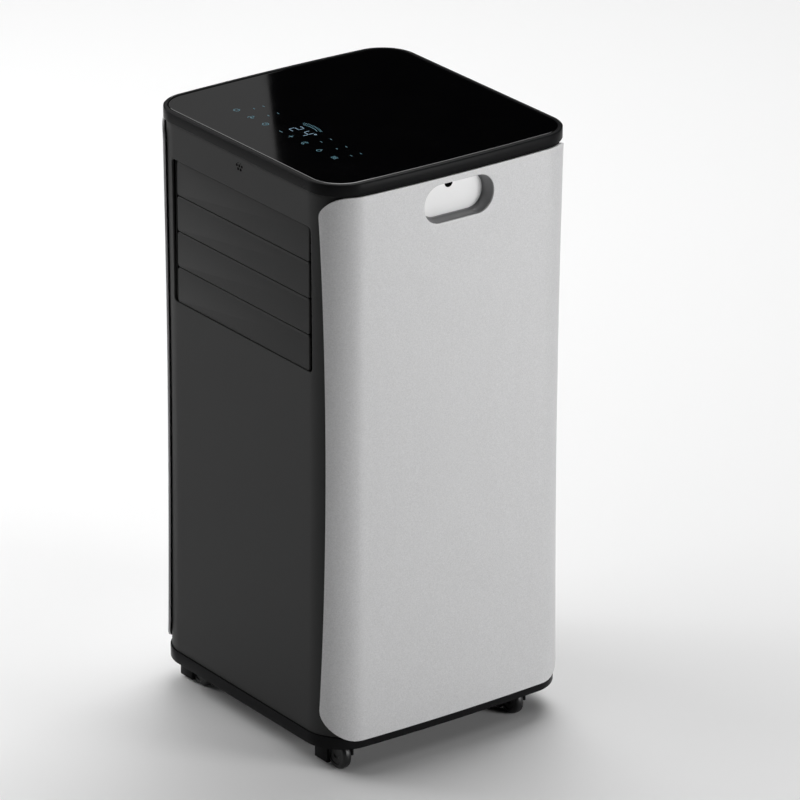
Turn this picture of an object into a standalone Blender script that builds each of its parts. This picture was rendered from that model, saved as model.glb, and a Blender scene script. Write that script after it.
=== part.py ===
"""Portable air conditioner: casing on four casters, front louvers, rear filters and the cooling parts inside.

The numbers are millimetres. X is the width, Y the depth with the front at -Y, and Z is up from the floor.
"""

import math

import bmesh
import bpy
from mathutils import Vector

METRES = 0.001

# Driving dimensions of the casing
body_width = 343.0  # between the corners; the sides bulge by side_crown
body_depth = 334.4
body_height = 671.0  # from the skirt's lower edge to the cap's rim
floor_gap = 32.0
overall_depth = 345.0  # with the exhaust collar at the back
side_crown = 5.4
corner_radius = 44.7
waist_inset = 3.2  # how far the walls draw in at half height
wall = 2.5
clearance = 0.4
cover_setback = 1.5  # the covers stand this far inside the cap and the skirt
cap_height = 13.3
cap_radius = 40.7
rim_width = 5.0
rim_chamfer = 1.2
groove = 1.2
glass_thickness = 3.2
glass_drop = 0.3
skirt_height = 14.6

# Side panels and their handles
panel_proud = 3.2
panel_thickness = 2.2
panel_top_gap = 1.2
panel_lift = 11.0  # the panel's lower edge above the skirt's
panel_front_wrap = 0.40  # radians past the front face's end of the corner, at the ends
panel_edge_bow = 5.0
panel_top_radius = 24.0
panel_foot_radius = 36.0
handle_length = 94.3
handle_height = 45.3
handle_radius = 21.5
handle_drop = 44.5  # from the cap's rim to the pocket's middle
handle_depth = 15.0
cup_wall = 2.0
cup_draft = 3.0
cup_flange = 4.0

# Louvers
outlet_width = 263.6
outlet_height = 169.6
outlet_drop = 55.8  # from the cap's rim to the opening's upper edge
louver_count = 4
louver_side_gap = 5.9  # between a louver's end and the opening's side
louver_thickness = 2.2
louver_recess = 1.6
louver_gap = 1.0
pivot_setback = 8.0  # the axis behind the louver's face
pivot_radius = 2.4
boss_radius = 3.4
web_thickness = 2.4
crank_throw = 12.0
crank_thickness = 2.0
link_width = 8.0
duct_wall = 2.0
duct_depth = 90.0
duct_relief = 2.5  # room under and over the louvers as they turn
neck_height = 92.0
neck_reach = 100.0  # half its width

# Casters
wheel_radius = 18.0
wheel_width = 10.0
wheel_facets = 28  # one of them lies flat on the floor
caster_trail = 13.0
caster_x = 132.3
front_caster_inset = 31.0  # stem to the front face
rear_caster_inset = 62.0
axle_radius = 2.5
stem_radius = 5.0
stem_length = 9.0
hood_length = 22.0
hood_wall = 3.6
hood_eye = 8.5  # round the axle's end, below the arm
hood_tail = 29.5
well_clearance = 1.6
well_wall = 2.3
tray_rise = 3.0  # the tray's underside above the skirt's lower edge
tray_floor = 3.0

# Rear openings, filters, collar, plugs
filter_width = 236.0
upper_filter_height = 232.0
lower_filter_height = 112.0
upper_filter_z = 532.0
lower_filter_z = 137.0
filter_thickness = 5.0
filter_bar = 5.0
filter_slots = 12
exhaust_z = 290.0
exhaust_radius = 72.0
collar_wall = 2.6
collar_flange = 9.0
plug_radius = 9.0
plug_x = 122.0
upper_plug_z = 402.0
lower_plug_z = 62.0
gland_radius = 8.0

# Cooling parts
deck_z = 366.0
deck_thickness = 2.6
coil_depth = 24.0
condenser_top = 199.0
compressor_radius = 50.0
compressor_height = 178.0
compressor_x, compressor_y = -62.0, -70.0
grommet_height = 14.0
grommet_circle = 60.0
accumulator_radius = 20.0
pipe_radius = 4.0
blower_radius = 88.0
blower_width = 56.0
exhaust_fan_radius = 58.0
exhaust_fan_width = 42.0

# Places worked out from them
floor_z = 0.0
skirt_z = floor_z + floor_gap
rim_z = skirt_z + body_height
middle_z = (skirt_z + rim_z) / 2
cap_z = rim_z - cap_height
skirt_top = skirt_z + skirt_height
floor_high = skirt_z + tray_rise + tray_floor
well_top = skirt_z + stem_length
well_roof = well_top + well_wall
body_y = -(overall_depth - body_depth) / 2
front_y = body_y - body_depth / 2
rear_y = body_y + body_depth / 2
collar_y = front_y + overall_depth
inside = cover_setback + wall + clearance
outlet_top = rim_z - outlet_drop
outlet_bottom = outlet_top - outlet_height
outlet_z = (outlet_top + outlet_bottom) / 2
louver_pitch = outlet_height / louver_count
louver_length = outlet_width - 2 * louver_side_gap
side_low = body_width / 2 - handle_depth - 8.0  # cutters for a side start and end at these
side_high = body_width / 2 + side_crown + panel_proud + 8.0


def paint(name, colour, roughness, metallic=0.0):
    material = bpy.data.materials.new(name)
    material.use_nodes = True
    shader = material.node_tree.nodes["Principled BSDF"]
    shader.inputs["Base Color"].default_value = (*colour, 1.0)
    shader.inputs["Roughness"].default_value = roughness
    shader.inputs["Metallic"].default_value = metallic
    return material


def waist(z):
    """How far a wall stands inside the plain outline at this height."""
    t = (z - middle_z) / (body_height / 2)
    return waist_inset * (1 - t * t)


def rear_face(low, high):
    """The furthest back that the rear cover comes between two heights."""
    return rear_y - cover_setback - min(waist(low), waist(high))


def corner_arc(cx, cy, radius, start, steps):
    arc = []
    for i in range(steps + 1):
        angle = math.radians(start + 90.0 * i / steps)
        arc.append((cx + radius * math.cos(angle), cy + radius * math.sin(angle)))
    return arc


def crowned(x, y):
    """Bulges the two sides, and leaves the front and the back flat."""
    side = min(abs(x) / (body_width / 2), 1.0) ** 6
    bulge = side_crown * (1 - (y / (body_depth / 2)) ** 2) * side
    return x + math.copysign(bulge, x), y


def outline(z, inset, radius=corner_radius, steps=6, side_steps=4):
    """The casing's section as a closed path, anticlockwise from the front right corner."""
    a, b = body_width / 2 - inset, body_depth / 2 - inset
    r = max(radius - inset, 0.5)
    right = corner_arc(a - r, -b + r, r, -90, steps)
    for i in range(1, side_steps):
        right.append((a, (-b + r) + (2 * b - 2 * r) * i / side_steps))
    right += corner_arc(a - r, b - r, r, 0, steps)
    left = [(-x, y) for x, y in reversed(right)]
    return [(*crowned(x, y), z) for x, y in right + left]


def mesh_object(name, points, faces, material, origin=(0, 0, 0), smooth=True):
    """A named mesh from points in millimetres, with its origin where it turns or slides."""
    mesh = bpy.data.meshes.new(name)
    base = Vector(origin)
    mesh.from_pydata([(Vector(p) - base) * METRES for p in points], [], faces)
    tidy = bmesh.new()
    tidy.from_mesh(mesh)
    bmesh.ops.remove_doubles(tidy, verts=tidy.verts, dist=1e-6)
    bmesh.ops.recalc_face_normals(tidy, faces=tidy.faces)
    tidy.to_mesh(mesh)
    tidy.free()
    if smooth:
        mesh.shade_smooth()
        mesh.set_sharp_from_angle(angle=math.radians(35))
    thing = bpy.data.objects.new(name, mesh)
    thing.location = base * METRES
    bpy.context.scene.collection.objects.link(thing)
    if material:
        mesh.materials.append(material)
    return thing


def loft(name, rings, material, origin=(0, 0, 0), smooth=True):
    """A closed solid through rings of equal length, capped at both ends."""
    count = len(rings[0])
    points = [p for ring in rings for p in ring]
    faces = [list(range(count)), list(range(len(points) - count, len(points)))]
    for r in range(len(rings) - 1):
        for i in range(count):
            j = (i + 1) % count
            low, high = r * count, (r + 1) * count
            faces.append([low + i, low + j, high + j, high + i])
    return mesh_object(name, points, faces, material, origin, smooth)


def box(name, low, high, material=None, origin=(0, 0, 0)):
    (x0, y0, z0), (x1, y1, z1) = low, high
    rings = [[(x0, y0, z), (x1, y0, z), (x1, y1, z), (x0, y1, z)] for z in (z0, z1)]
    return loft(name, rings, material, origin, smooth=False)


def circle(centre, radius, axis, along, steps, phase=0.0):
    """Points of a circle round an axis through centre, moved along that axis."""
    path = []
    for i in range(steps):
        angle = 2 * math.pi * (i + phase) / steps
        u, v = radius * math.cos(angle), radius * math.sin(angle)
        offset = {"X": (along, u, v), "Y": (v, along, u), "Z": (u, v, along)}[axis]
        path.append(tuple(c + o for c, o in zip(centre, offset)))
    return path


def turned(name, centre, axis, profile, material=None, steps=24, phase=0.0):
    """A solid of revolution from (distance along the axis, radius) pairs."""
    rings = [circle(centre, radius, axis, along, steps, phase) for along, radius in profile]
    return loft(name, rings, material, origin=centre)


def rod(name, centre, axis, start, end, radius, material=None, steps=16):
    return turned(name, centre, axis, [(start, radius), (end, radius)], material, steps)


def rounded_rectangle(width, height, radius, steps=4):
    a, b = width / 2 - radius, height / 2 - radius
    corners = [(a, -b, -90), (a, b, 0), (-a, b, 90), (-a, -b, 180)]
    return [p for cx, cy, start in corners for p in corner_arc(cx, cy, radius, start, steps)]


def combine(target, other, operation):
    """Adds a live Boolean, and keeps its second mesh out of the model."""
    modifier = target.modifiers.new(other.name, "BOOLEAN")
    modifier.operation = operation
    modifier.object = other
    other.hide_render = True
    other.display_type = "WIRE"


def cut(target, *cutters):
    for cutter in cutters:
        combine(target, cutter, "DIFFERENCE")


def join(target, *others):
    for other in others:
        combine(target, other, "UNION")


def wall_levels(low, high, count=8):
    return [low + (high - low) * i / count for i in range(count + 1)]


def half_shell(name, side, material):
    """The front (-1) or rear (+1) cover: a wall round one half of the casing."""
    rings = []
    for z in wall_levels(skirt_top + clearance, cap_z - clearance):
        inset = cover_setback + waist(z)
        edge = clearance / 2
        walls = []
        for depth in (inset, inset + wall):
            path = [p for p in outline(z, depth) if side * p[1] > 1.0]
            path.sort(key=lambda p: math.atan2(p[1], p[0]))
            ends = []
            for sign in (path[0][0], path[-1][0]):
                x = math.copysign(body_width / 2 - depth, sign)
                ends.append((math.copysign(abs(crowned(x, 0)[0]), sign), side * edge, z))
            walls.append([ends[0], *path, ends[1]])
        ring = walls[0] + walls[1][::-1]
        rings.append([(x, y + body_y, z) for x, y, z in ring])
    return loft(name, rings, material)


def shifted(path):
    return [(x, y + body_y, z) for x, y, z in path]


def make_tray(material):
    lip_z = skirt_top + 7.0
    floor_low = skirt_z + tray_rise
    profile = [
        (floor_low, 3.2), (skirt_z, 3.2), (skirt_z, 0.8), (skirt_z + 0.8, 0), (skirt_top, 0),
        (skirt_top, inside), (lip_z, inside), (lip_z, inside + 2.2), (floor_high, inside + 2.2),
    ]
    tray = loft("base_tray", [shifted(outline(z, inset)) for z, inset in profile], material)
    well = well_radius()
    for i, (x, y) in enumerate(caster_places()):
        tower = rod(f"well_wall_{i}", (x, y, 0), "Z", floor_high - 1.0, well_roof, well + well_wall,
                    steps=20)
        hollow = rod(f"well_{i}", (x, y, 0), "Z", skirt_z - 5, well_top, well, steps=20)
        hole = rod(f"stem_hole_{i}", (x, y, 0), "Z", well_top - 1, well_roof + 1,
                   stem_radius + clearance, steps=12)
        join(tray, tower)
        cut(tray, hollow, hole)
    return tray


def caster_places():
    front, rear = front_y + front_caster_inset, rear_y - rear_caster_inset
    return [(-caster_x, front), (caster_x, front), (-caster_x, rear), (caster_x, rear)]


def well_radius():
    """Wide enough for what of the wheel and the hood turns above the skirt's edge."""
    rise = skirt_z - wheel_radius
    chord = math.sqrt(max(wheel_radius**2 - rise**2, 0.0))
    half = wheel_width / 2 + hood_wall
    return max(math.hypot(caster_trail + chord, half), math.hypot(hood_length, half)) + well_clearance


def make_caster(place, x, y, hood_material, wheel_material, metal):
    half = wheel_width / 2 + hood_wall
    slot = wheel_width / 2 + 0.6
    axle = (x + caster_trail, y, wheel_radius)
    roof = 2 * wheel_radius + 1.0
    outer = well_radius() - well_clearance
    pivot = (x, y, 0)
    hood = box(f"{place}_caster_hood", (x - hood_length, y - half, 3.0), (x + 2.0, y + half, roof + 1.0),
               hood_material, pivot)
    top = turned(f"{place}_hood_top", pivot, "Z", [(roof, outer), (roof + 2.2, outer)], steps=20)
    stem = rod(f"{place}_stem", pivot, "Z", roof + 1, well_roof + 1.0, stem_radius, steps=12)
    arm = box(f"{place}_arm", (x - 4, y + slot, wheel_radius + 1.0), (x + hood_tail, y + half,
                                                                      skirt_z - 1.0))
    eye = rod(f"{place}_eye", axle, "Y", slot, half, hood_eye, steps=20)
    neck = box(f"{place}_neck", (x - 4, y + slot, skirt_z - 3), (x + outer - 4, y + half, roof + 1.0))
    room = rod(f"{place}_wheel_room", axle, "Y", -slot, slot, wheel_radius + 0.8, steps=24)
    pin_hole = rod(f"{place}_pin_hole", axle, "Y", slot - 1, half + 1, axle_radius + 0.3, steps=10)
    join(hood, top, stem, arm, neck, eye)
    cut(hood, room, pin_hole)
    grip = 1.2
    facet = wheel_radius / math.cos(math.pi / wheel_facets)
    wheel = turned(
        f"{place}_caster_wheel", axle, "Y",
        [(-wheel_width / 2 - 0.2, facet * 0.55), (-wheel_width / 2 + 0.6, facet * 0.8),
         (-wheel_width / 2 + 0.6, facet - grip), (-wheel_width / 2 + 0.6 + grip, facet),
         (wheel_width / 2 - grip, facet), (wheel_width / 2, facet - grip)],
        wheel_material, steps=wheel_facets, phase=0.5)
    bore = rod(f"{place}_wheel_bore", axle, "Y", -wheel_width, wheel_width, axle_radius + 0.3, steps=10)
    cut(wheel, bore)
    rod(f"{place}_caster_axle", axle, "Y", -wheel_width / 2 - 0.1, half - 0.1, axle_radius, metal, steps=10)


def make_cap(material, glass, board):
    ceiling = cap_z + 5.8
    seat = rim_z - glass_drop - glass_thickness - clearance
    profile = [
        (ceiling, inside), (cap_z, inside), (cap_z, 0), (rim_z - rim_chamfer, 0),
        (rim_z, rim_chamfer), (rim_z, rim_width), (seat, rim_width),
    ]
    loft("top_cover", [shifted(outline(z, i, cap_radius)) for z, i in profile], material)
    edge = rim_width + groove
    low = rim_z - glass_drop - glass_thickness
    glass_profile = [(low, edge), (rim_z - glass_drop - 0.5, edge), (rim_z - glass_drop, edge + 0.5)]
    loft("control_glass", [shifted(outline(z, i, cap_radius)) for z, i in glass_profile], glass)
    box("display_board", (-115, front_y + 45, ceiling - 3.2), (115, front_y + 110,
                                                               ceiling - clearance), board)


def perimeter(z, inset, side, front_angle, rear_angle, radius, steps=5, side_steps=4):
    """A side's path from the front corner to the rear one, starting and ending part-way round them."""
    a, b = body_width / 2 - inset, body_depth / 2 - inset
    r = radius - inset
    path = []
    for i in range(steps + 1):
        angle = front_angle + (math.pi / 2 - front_angle) * i / steps
        path.append((a - r + r * math.sin(angle), -b + r - r * math.cos(angle)))
    for i in range(1, side_steps):
        path.append((a, (-b + r) * (1 - 2 * i / side_steps)))
    for i in range(steps + 1):
        angle = math.pi / 2 - (math.pi / 2 - rear_angle) * i / steps
        path.append((a - r + r * math.sin(angle), b - r + r * math.cos(angle)))
    return [(side * crowned(x, y)[0], y + body_y, z) for x, y in path]


def rounding(z, low, high, low_radius, high_radius):
    """How far a panel's edge draws in at this height, for its two rounded corners."""
    for gap, radius in ((z - low, low_radius), (high - z, high_radius)):
        if gap < radius:
            return radius - math.sqrt(max(radius**2 - (radius - gap) ** 2, 0.0))
    return 0.0


def panel_levels(low, high):
    levels = [low + panel_foot_radius * (1 - math.cos(math.radians(a))) for a in (0, 22.5, 45, 67.5)]
    levels += wall_levels(low + panel_foot_radius, high - panel_top_radius, 6)
    levels += [high - panel_top_radius * (1 - math.cos(math.radians(a))) for a in (67.5, 45, 22.5, 0)]
    return levels


def edge_setback(z, low, high):
    """How far behind the front face, or before the rear one, a panel's edge runs at this height."""
    t = (z - middle_z) / (body_height / 2)
    reach = (corner_radius + panel_proud) * (1 - math.cos(panel_front_wrap)) + panel_edge_bow * (1 - t * t)
    reach += rounding(z, low, high, panel_foot_radius, panel_top_radius)
    return reach


def path_from(z, side, inset, low, high):
    """One wall of a side panel at one height, its ends cut where the panel's edge runs."""
    r = corner_radius - inset
    reach = edge_setback(z, low, high)
    if reach <= r:
        angle = math.acos(1 - reach / r)
        return perimeter(z, inset, side, angle, angle, corner_radius)
    path = perimeter(z, inset, side, math.pi / 2 - 1e-3, math.pi / 2 - 1e-3, corner_radius)
    short = reach - r
    b = body_depth / 2 - inset - r
    squeeze = (b - short) / b
    a = body_width / 2 - inset
    flat = []
    for x, y, _ in path:
        local = (y - body_y) * squeeze
        flat.append((side * crowned(a, local)[0], local + body_y, z))
    return flat


def make_side_panel(name, side, material):
    low = skirt_z + panel_lift
    high = cap_z - panel_top_gap
    rings = []
    for z in panel_levels(low, high):
        outer = path_from(z, side, waist(z) - panel_proud, low, high)
        inner = path_from(z, side, waist(z) - panel_proud + panel_thickness, low, high)
        rings.append(outer + inner[::-1])
    panel = loft(name, rings, material)
    pocket = rounded_rectangle(handle_length, handle_height, handle_radius)
    z = rim_z - handle_drop
    rings = [[(side * x, body_y + u, z + v) for u, v in pocket] for x in (side_low, side_high)]
    cut(panel, loft(f"{name}_pocket", rings, None))
    return panel


def make_handle_cup(name, side, material):
    """A shallow tub behind the panel's opening, with its flange against the panel."""
    z = rim_z - handle_drop
    reach = handle_length / 2 + cup_flange + 2
    mouth = min(
        crowned(body_width / 2 + panel_proud - panel_thickness - waist(z - handle_height / 2), reach)[0],
        crowned(body_width / 2 + panel_proud - panel_thickness - waist(z + handle_height / 2), reach)[0],
    ) - clearance

    def ring(x, grow):
        shape = rounded_rectangle(handle_length + 2 * grow, handle_height + 2 * grow,
                                  max(handle_radius + grow, 2.0))
        return [(side * x, body_y + u, z + v) for u, v in shape]

    back = mouth - handle_depth
    rings = [
        ring(back + cup_wall, -cup_draft), ring(mouth, 0.0), ring(mouth, cup_flange),
        ring(mouth - cup_wall, cup_flange), ring(mouth - cup_wall, cup_wall), ring(back,
                                                                                   cup_wall - cup_draft),
    ]
    return loft(name, rings, material)


def make_front_cover(material):
    cover = half_shell("front_cover", -1, material)
    opening = box("outlet_opening", (-outlet_width / 2, front_y - 10, outlet_bottom),
                  (outlet_width / 2, front_y + 12, outlet_top))
    cut(cover, opening)
    cut_handle_holes(cover, "front")
    return cover


def cut_handle_holes(cover, place):
    z = rim_z - handle_drop
    reach = handle_length / 2 + cup_wall + 2
    height = handle_height / 2 + cup_wall + 2
    for side in (-1, 1):
        low, high = sorted((side * side_low, side * side_high))
        hole = box(f"{place}_handle_hole_{side}", (low, body_y - reach, z - height),
                   (high, body_y + reach, z + height))
        cut(cover, hole)


def filter_rows():
    return (("upper_filter", upper_filter_z, upper_filter_height),
            ("lower_filter", lower_filter_z, lower_filter_height))


def make_rear_cover(material):
    cover = half_shell("rear_cover", 1, material)
    for name, z, height in filter_rows():
        cut(cover, box(f"{name}_opening", (-filter_width / 2 - clearance, rear_y - 15,
                                           z - height / 2 - clearance),
                       (filter_width / 2 + clearance, rear_y + 10, z + height / 2 + clearance)))
    cut(cover, rod("exhaust_hole", (0, rear_y, exhaust_z), "Y", -15, 10, exhaust_radius + clearance,
                   steps=32))
    for name, z in (("upper", upper_plug_z), ("lower", lower_plug_z)):
        cut(cover, rod(f"{name}_plug_hole", (plug_x, rear_y, z), "Y", -15, 10, plug_radius, steps=16))
    gland_hole = rod("gland_hole", (-plug_x, rear_y, lower_plug_z), "Y", -15, 10, gland_radius + clearance)
    cut(cover, gland_hole)
    cut_handle_holes(cover, "rear")
    return cover


def make_filter(name, z, height, material):
    """A frame with flat bars that fills a rear opening and pulls straight out."""
    face = rear_face(z - height / 2, z + height / 2)
    back = face - filter_thickness
    origin = (0, face, z)
    frame = box(name, (-filter_width / 2, back, z - height / 2), (filter_width / 2, face, z + height / 2),
                material, origin)
    slots = max(int(filter_slots * height / upper_filter_height), 2)
    pitch = (height - filter_bar) / slots
    points, faces = [], []
    for column in (-1, 1):
        x0, x1 = sorted((column * filter_bar / 2, column * (filter_width / 2 - 2 * filter_bar)))
        for i in range(slots):
            z0 = z - height / 2 + filter_bar + i * pitch
            z1 = z0 + pitch - filter_bar
            start = len(points)
            points += [(x, y, w) for w in (z0, z1) for y in (back - 2, face + 2) for x in (x0, x1)]
            quads = ((0, 1, 3, 2), (4, 6, 7, 5), (0, 4, 5, 1), (2, 3, 7, 6), (0, 2, 6, 4), (1, 5, 7, 3))
            faces += [[start + k for k in quad] for quad in quads]
    cut(frame, mesh_object(f"{name}_slots", points, faces, None, smooth=False))
    return frame


def make_collar(material):
    reach = exhaust_radius + collar_flange
    face = rear_face(exhaust_z - reach, exhaust_z + reach)
    bore = exhaust_radius - collar_wall
    collar = turned(
        "exhaust_collar", (0, face, exhaust_z), "Y",
        [(-18.0, bore), (-18.0, exhaust_radius), (clearance, exhaust_radius),
         (clearance, reach), (clearance + 2.4, reach),
         (clearance + 2.4, exhaust_radius + 3.0), (collar_y - face, exhaust_radius + 3.0),
         (collar_y - face, bore)],
        material, steps=32)
    cut(collar, rod("collar_bore", (0, face, exhaust_z), "Y", -30, 30, bore, steps=32))
    return collar


def make_plug(name, z, material):
    face = rear_face(z - plug_radius - 3, z + plug_radius + 3)
    turned(name, (plug_x, face, z), "Y",
           [(-8.0, plug_radius - 1.5), (-1.0, plug_radius - clearance), (clearance,
                                                                         plug_radius - clearance),
            (clearance, plug_radius + 3), (clearance + 2.5, plug_radius + 3), (clearance + 2.5,
                                                                               plug_radius - 4),
            (clearance + 5.0, plug_radius - 4)], material, steps=16)


def make_gland(material):
    face = rear_face(lower_plug_z - gland_radius - 4, lower_plug_z + gland_radius + 4)
    gland = turned("cord_gland", (-plug_x, face, lower_plug_z), "Y",
                   [(-10.0, gland_radius), (clearance, gland_radius), (clearance, gland_radius + 3.5),
                    (clearance + 3.0, gland_radius + 2.5), (clearance + 6.0, gland_radius - 1)],
                    material, steps=16)
    cut(gland, rod("gland_bore", (-plug_x, face, lower_plug_z), "Y", -20, 20, 3.6, steps=12))


def louver_axis(i):
    face = front_y + cover_setback + waist(outlet_z) + louver_recess
    return face + pivot_setback, outlet_top - louver_pitch * (i + 0.5)


def make_louvers(material, metal):
    half = louver_length / 2
    wall_x = outlet_width / 2 - duct_wall
    crank_x = -(wall_x + duct_wall + clearance)
    height = louver_pitch / 2 - louver_gap / 2
    for i in range(louver_count):
        y, z = louver_axis(i)
        face, back = y - pivot_setback, y - pivot_setback + louver_thickness
        web = web_thickness / 2
        start = math.pi - math.asin(web / boss_radius)
        section = [(face, -height), (face, height), (back, height), (back, web)]
        for k in range(9):
            angle = start - 2 * start * k / 8
            section.append((y + boss_radius * math.cos(angle), boss_radius * math.sin(angle)))
        section += [(back, -web), (back, -height)]
        rings = [[(x, u, z + v) for u, v in section] for x in (-half, half)]
        slat = loft(f"louver_{i + 1}", rings, material, origin=(0, y, z))
        pin = rod(f"louver_{i + 1}_pin", (0, y, z), "X", crank_x - crank_thickness + 0.5,
                  wall_x + duct_wall,
                  pivot_radius, steps=12)
        crank = loft(f"louver_{i + 1}_crank",
                     [[(x, y + u + crank_throw / 2, z + v) for u, v in
                       rounded_rectangle(crank_throw + 8.4, 8.4, 4.1, 3)]
                      for x in (crank_x - crank_thickness, crank_x)], None)
        knob = rod(f"louver_{i + 1}_knob", (0, y + crank_throw, z), "X",
                   crank_x - crank_thickness - 3.4, crank_x - 0.5, 2.0, steps=12)
        join(slat, pin, crank, knob)
    top_y, top_z = louver_axis(0)
    low_z = louver_axis(louver_count - 1)[1]
    link_x = crank_x - crank_thickness - clearance
    pivot = (link_x, top_y + crank_throw, top_z)
    ends = rounded_rectangle(link_width, top_z - low_z + link_width + 2, link_width / 2 - 0.2, 3)
    link = loft("louver_link",
                [[(x, pivot[1] + u, (top_z + low_z) / 2 + v) for u, v in ends] for x in (link_x - 2.4,
                                                                                         link_x)],
                metal, origin=pivot)
    for i in range(louver_count):
        y, z = louver_axis(i)
        cut(link, rod(f"link_hole_{i}", (link_x, y + crank_throw, z), "X", -5, 3, 2.0 + 0.3, steps=12))


def neck_span():
    """The lower and upper face of the blower's neck, where it meets the duct."""
    top = outlet_top - 3
    return top - neck_height, top


def duct_front():
    """Just behind the front cover, where it draws in the most beside the duct."""
    return front_y + cover_setback + waist(outlet_bottom - duct_relief - duct_wall) + wall + 2 * clearance


def make_outlet_duct(material, motor_material):
    """An open box from the louvers back to the blower, which carries the louvers' pins."""
    start = duct_front()
    half = outlet_width / 2
    low, high = outlet_bottom - duct_relief - duct_wall, outlet_top + duct_relief + duct_wall
    back = start + duct_depth
    duct = box("outlet_duct", (-half, start, low), (half, back, high), material)
    neck_low, neck_high = neck_span()
    cut(duct,
        box("duct_room", (-half + duct_wall, start - 5, low + duct_wall),
            (half - duct_wall, back - duct_wall, high - duct_wall)),
        box("duct_way", (-neck_reach + 3, back - 10, neck_low + 3), (neck_reach - 3, back + 5,
                                                                     neck_high - 3)))
    for i in range(louver_count):
        y, z = louver_axis(i)
        cut(duct, rod(f"pin_hole_{i}", (0, y, z), "X", -half - 3, half + 3, pivot_radius + 0.3, steps=12))
    y, z = louver_axis(0)
    box("louver_motor", (half + clearance, y + 1, z - 14), (half + 13, y + 29, z + 12), motor_material)


def make_deck(material):
    rings = [shifted(outline(deck_z, 8.5)), shifted(outline(deck_z + 14, 8.5)),
             shifted(outline(deck_z + 14, 10.5)), shifted(outline(deck_z + deck_thickness, 10.5))]
    deck = loft("deck_pan", rings, material)
    for i, (x, y) in enumerate(pipe_passes()):
        cut(deck, rod(f"deck_hole_{i}", (x, y, deck_z), "Z", -5, 20, pipe_radius + 1.5, steps=12))
    return deck


def pipe_passes():
    return ((118.0, 20.0), (134.0, 20.0))


def tube(name, route, radius, material):
    """A bent pipe through a short list of points, its corners rounded by a smooth curve."""
    points = [Vector(p) for p in route]
    path = [points[0]]
    for before, here, after in zip(points, points[1:], points[2:]):
        bend = min((here - before).length, (after - here).length) * 0.4
        start = here + (before - here).normalized() * bend
        end = here + (after - here).normalized() * bend
        for k in range(5):
            t = k / 4
            path.append(start * (1 - t) ** 2 + here * 2 * t * (1 - t) + end * t * t)
    path.append(points[-1])
    curve = bpy.data.curves.new(name, "CURVE")
    curve.dimensions = "3D"
    curve.bevel_depth = radius * METRES
    curve.bevel_resolution = 2
    curve.use_fill_caps = True
    spline = curve.splines.new("POLY")
    spline.points.add(len(path) - 1)
    for spot, p in zip(spline.points, path):
        spot.co = (*(p * METRES), 1.0)
    curve.materials.append(material)
    thing = bpy.data.objects.new(name, curve)
    bpy.context.scene.collection.objects.link(thing)


def make_cold_side(plastic, fins, motor_material):
    """Evaporator, blower wheel, its housing and motor, above the deck."""
    coil_y = rear_y - 30 - coil_depth
    low, high = deck_z + deck_thickness + clearance, outlet_top + 2
    box("evaporator", (-112, coil_y, low), (112, coil_y + coil_depth, high), fins)
    scroll_back = coil_y - 6
    scroll_front = scroll_back - blower_width - 24
    centre = (0, (scroll_front + scroll_back) / 2, low + blower_radius + 8)
    neck_low, neck_high = neck_span()
    neck_front = duct_front() + duct_depth + clearance
    scroll = box("blower_housing", (-112, scroll_front, low), (112, scroll_back, high), plastic)
    join(scroll, box("blower_neck", (-neck_reach, neck_front, neck_low), (neck_reach, scroll_front + 1,
                                                                          neck_high)))
    cut(scroll,
        box("blower_room", (-109, scroll_front + 3, low + 3), (109, scroll_back - 3, high - 3)),
        box("neck_room", (-neck_reach + 3, neck_front - 5, neck_low + 3),
            (neck_reach - 3, scroll_front + 5, neck_high - 3)),
        rod("blower_inlet", centre, "Y", 10, 80, blower_radius - 12, steps=24),
        rod("blower_shaft_hole", centre, "Y", -80, 0, 7.0, steps=12))
    make_fan("blower_wheel", centre, blower_radius, blower_width, plastic)
    make_motor("blower_motor", centre, scroll_front - clearance, 28.0, 34.0, blower_width / 2,
               motor_material)


def make_motor(name, centre, face, length, radius, shaft_back, material):
    """A round motor in front of a housing, with its shaft through the wall to the wheel's hub."""
    x, y, z = centre
    shaft_end = y - shaft_back + 12
    turned(name, (x, 0, z), "Y",
           [(face - length, radius - 4), (face - length + 4, radius), (face, radius), (face, 3.7),
            (shaft_end, 3.7)],
           material, steps=20)


def make_fan(name, centre, radius, width, material):
    """A drum wheel: back plate, rim of blades as one wall, and a hub with a bore."""
    half = width / 2
    wheel = turned(name, centre, "Y",
                   [(-half, 10.0), (-half, radius), (half, radius), (half, radius - 9), (-half + 3,
                                                                                         radius - 9),
                    (-half + 3, 13.0), (-half + 16, 11.0), (-half + 16, 10.0)], material, steps=20)
    cut(wheel, rod(f"{name}_bore", centre, "Y", -half - 5, half + 5, 4.0, steps=12))


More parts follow.
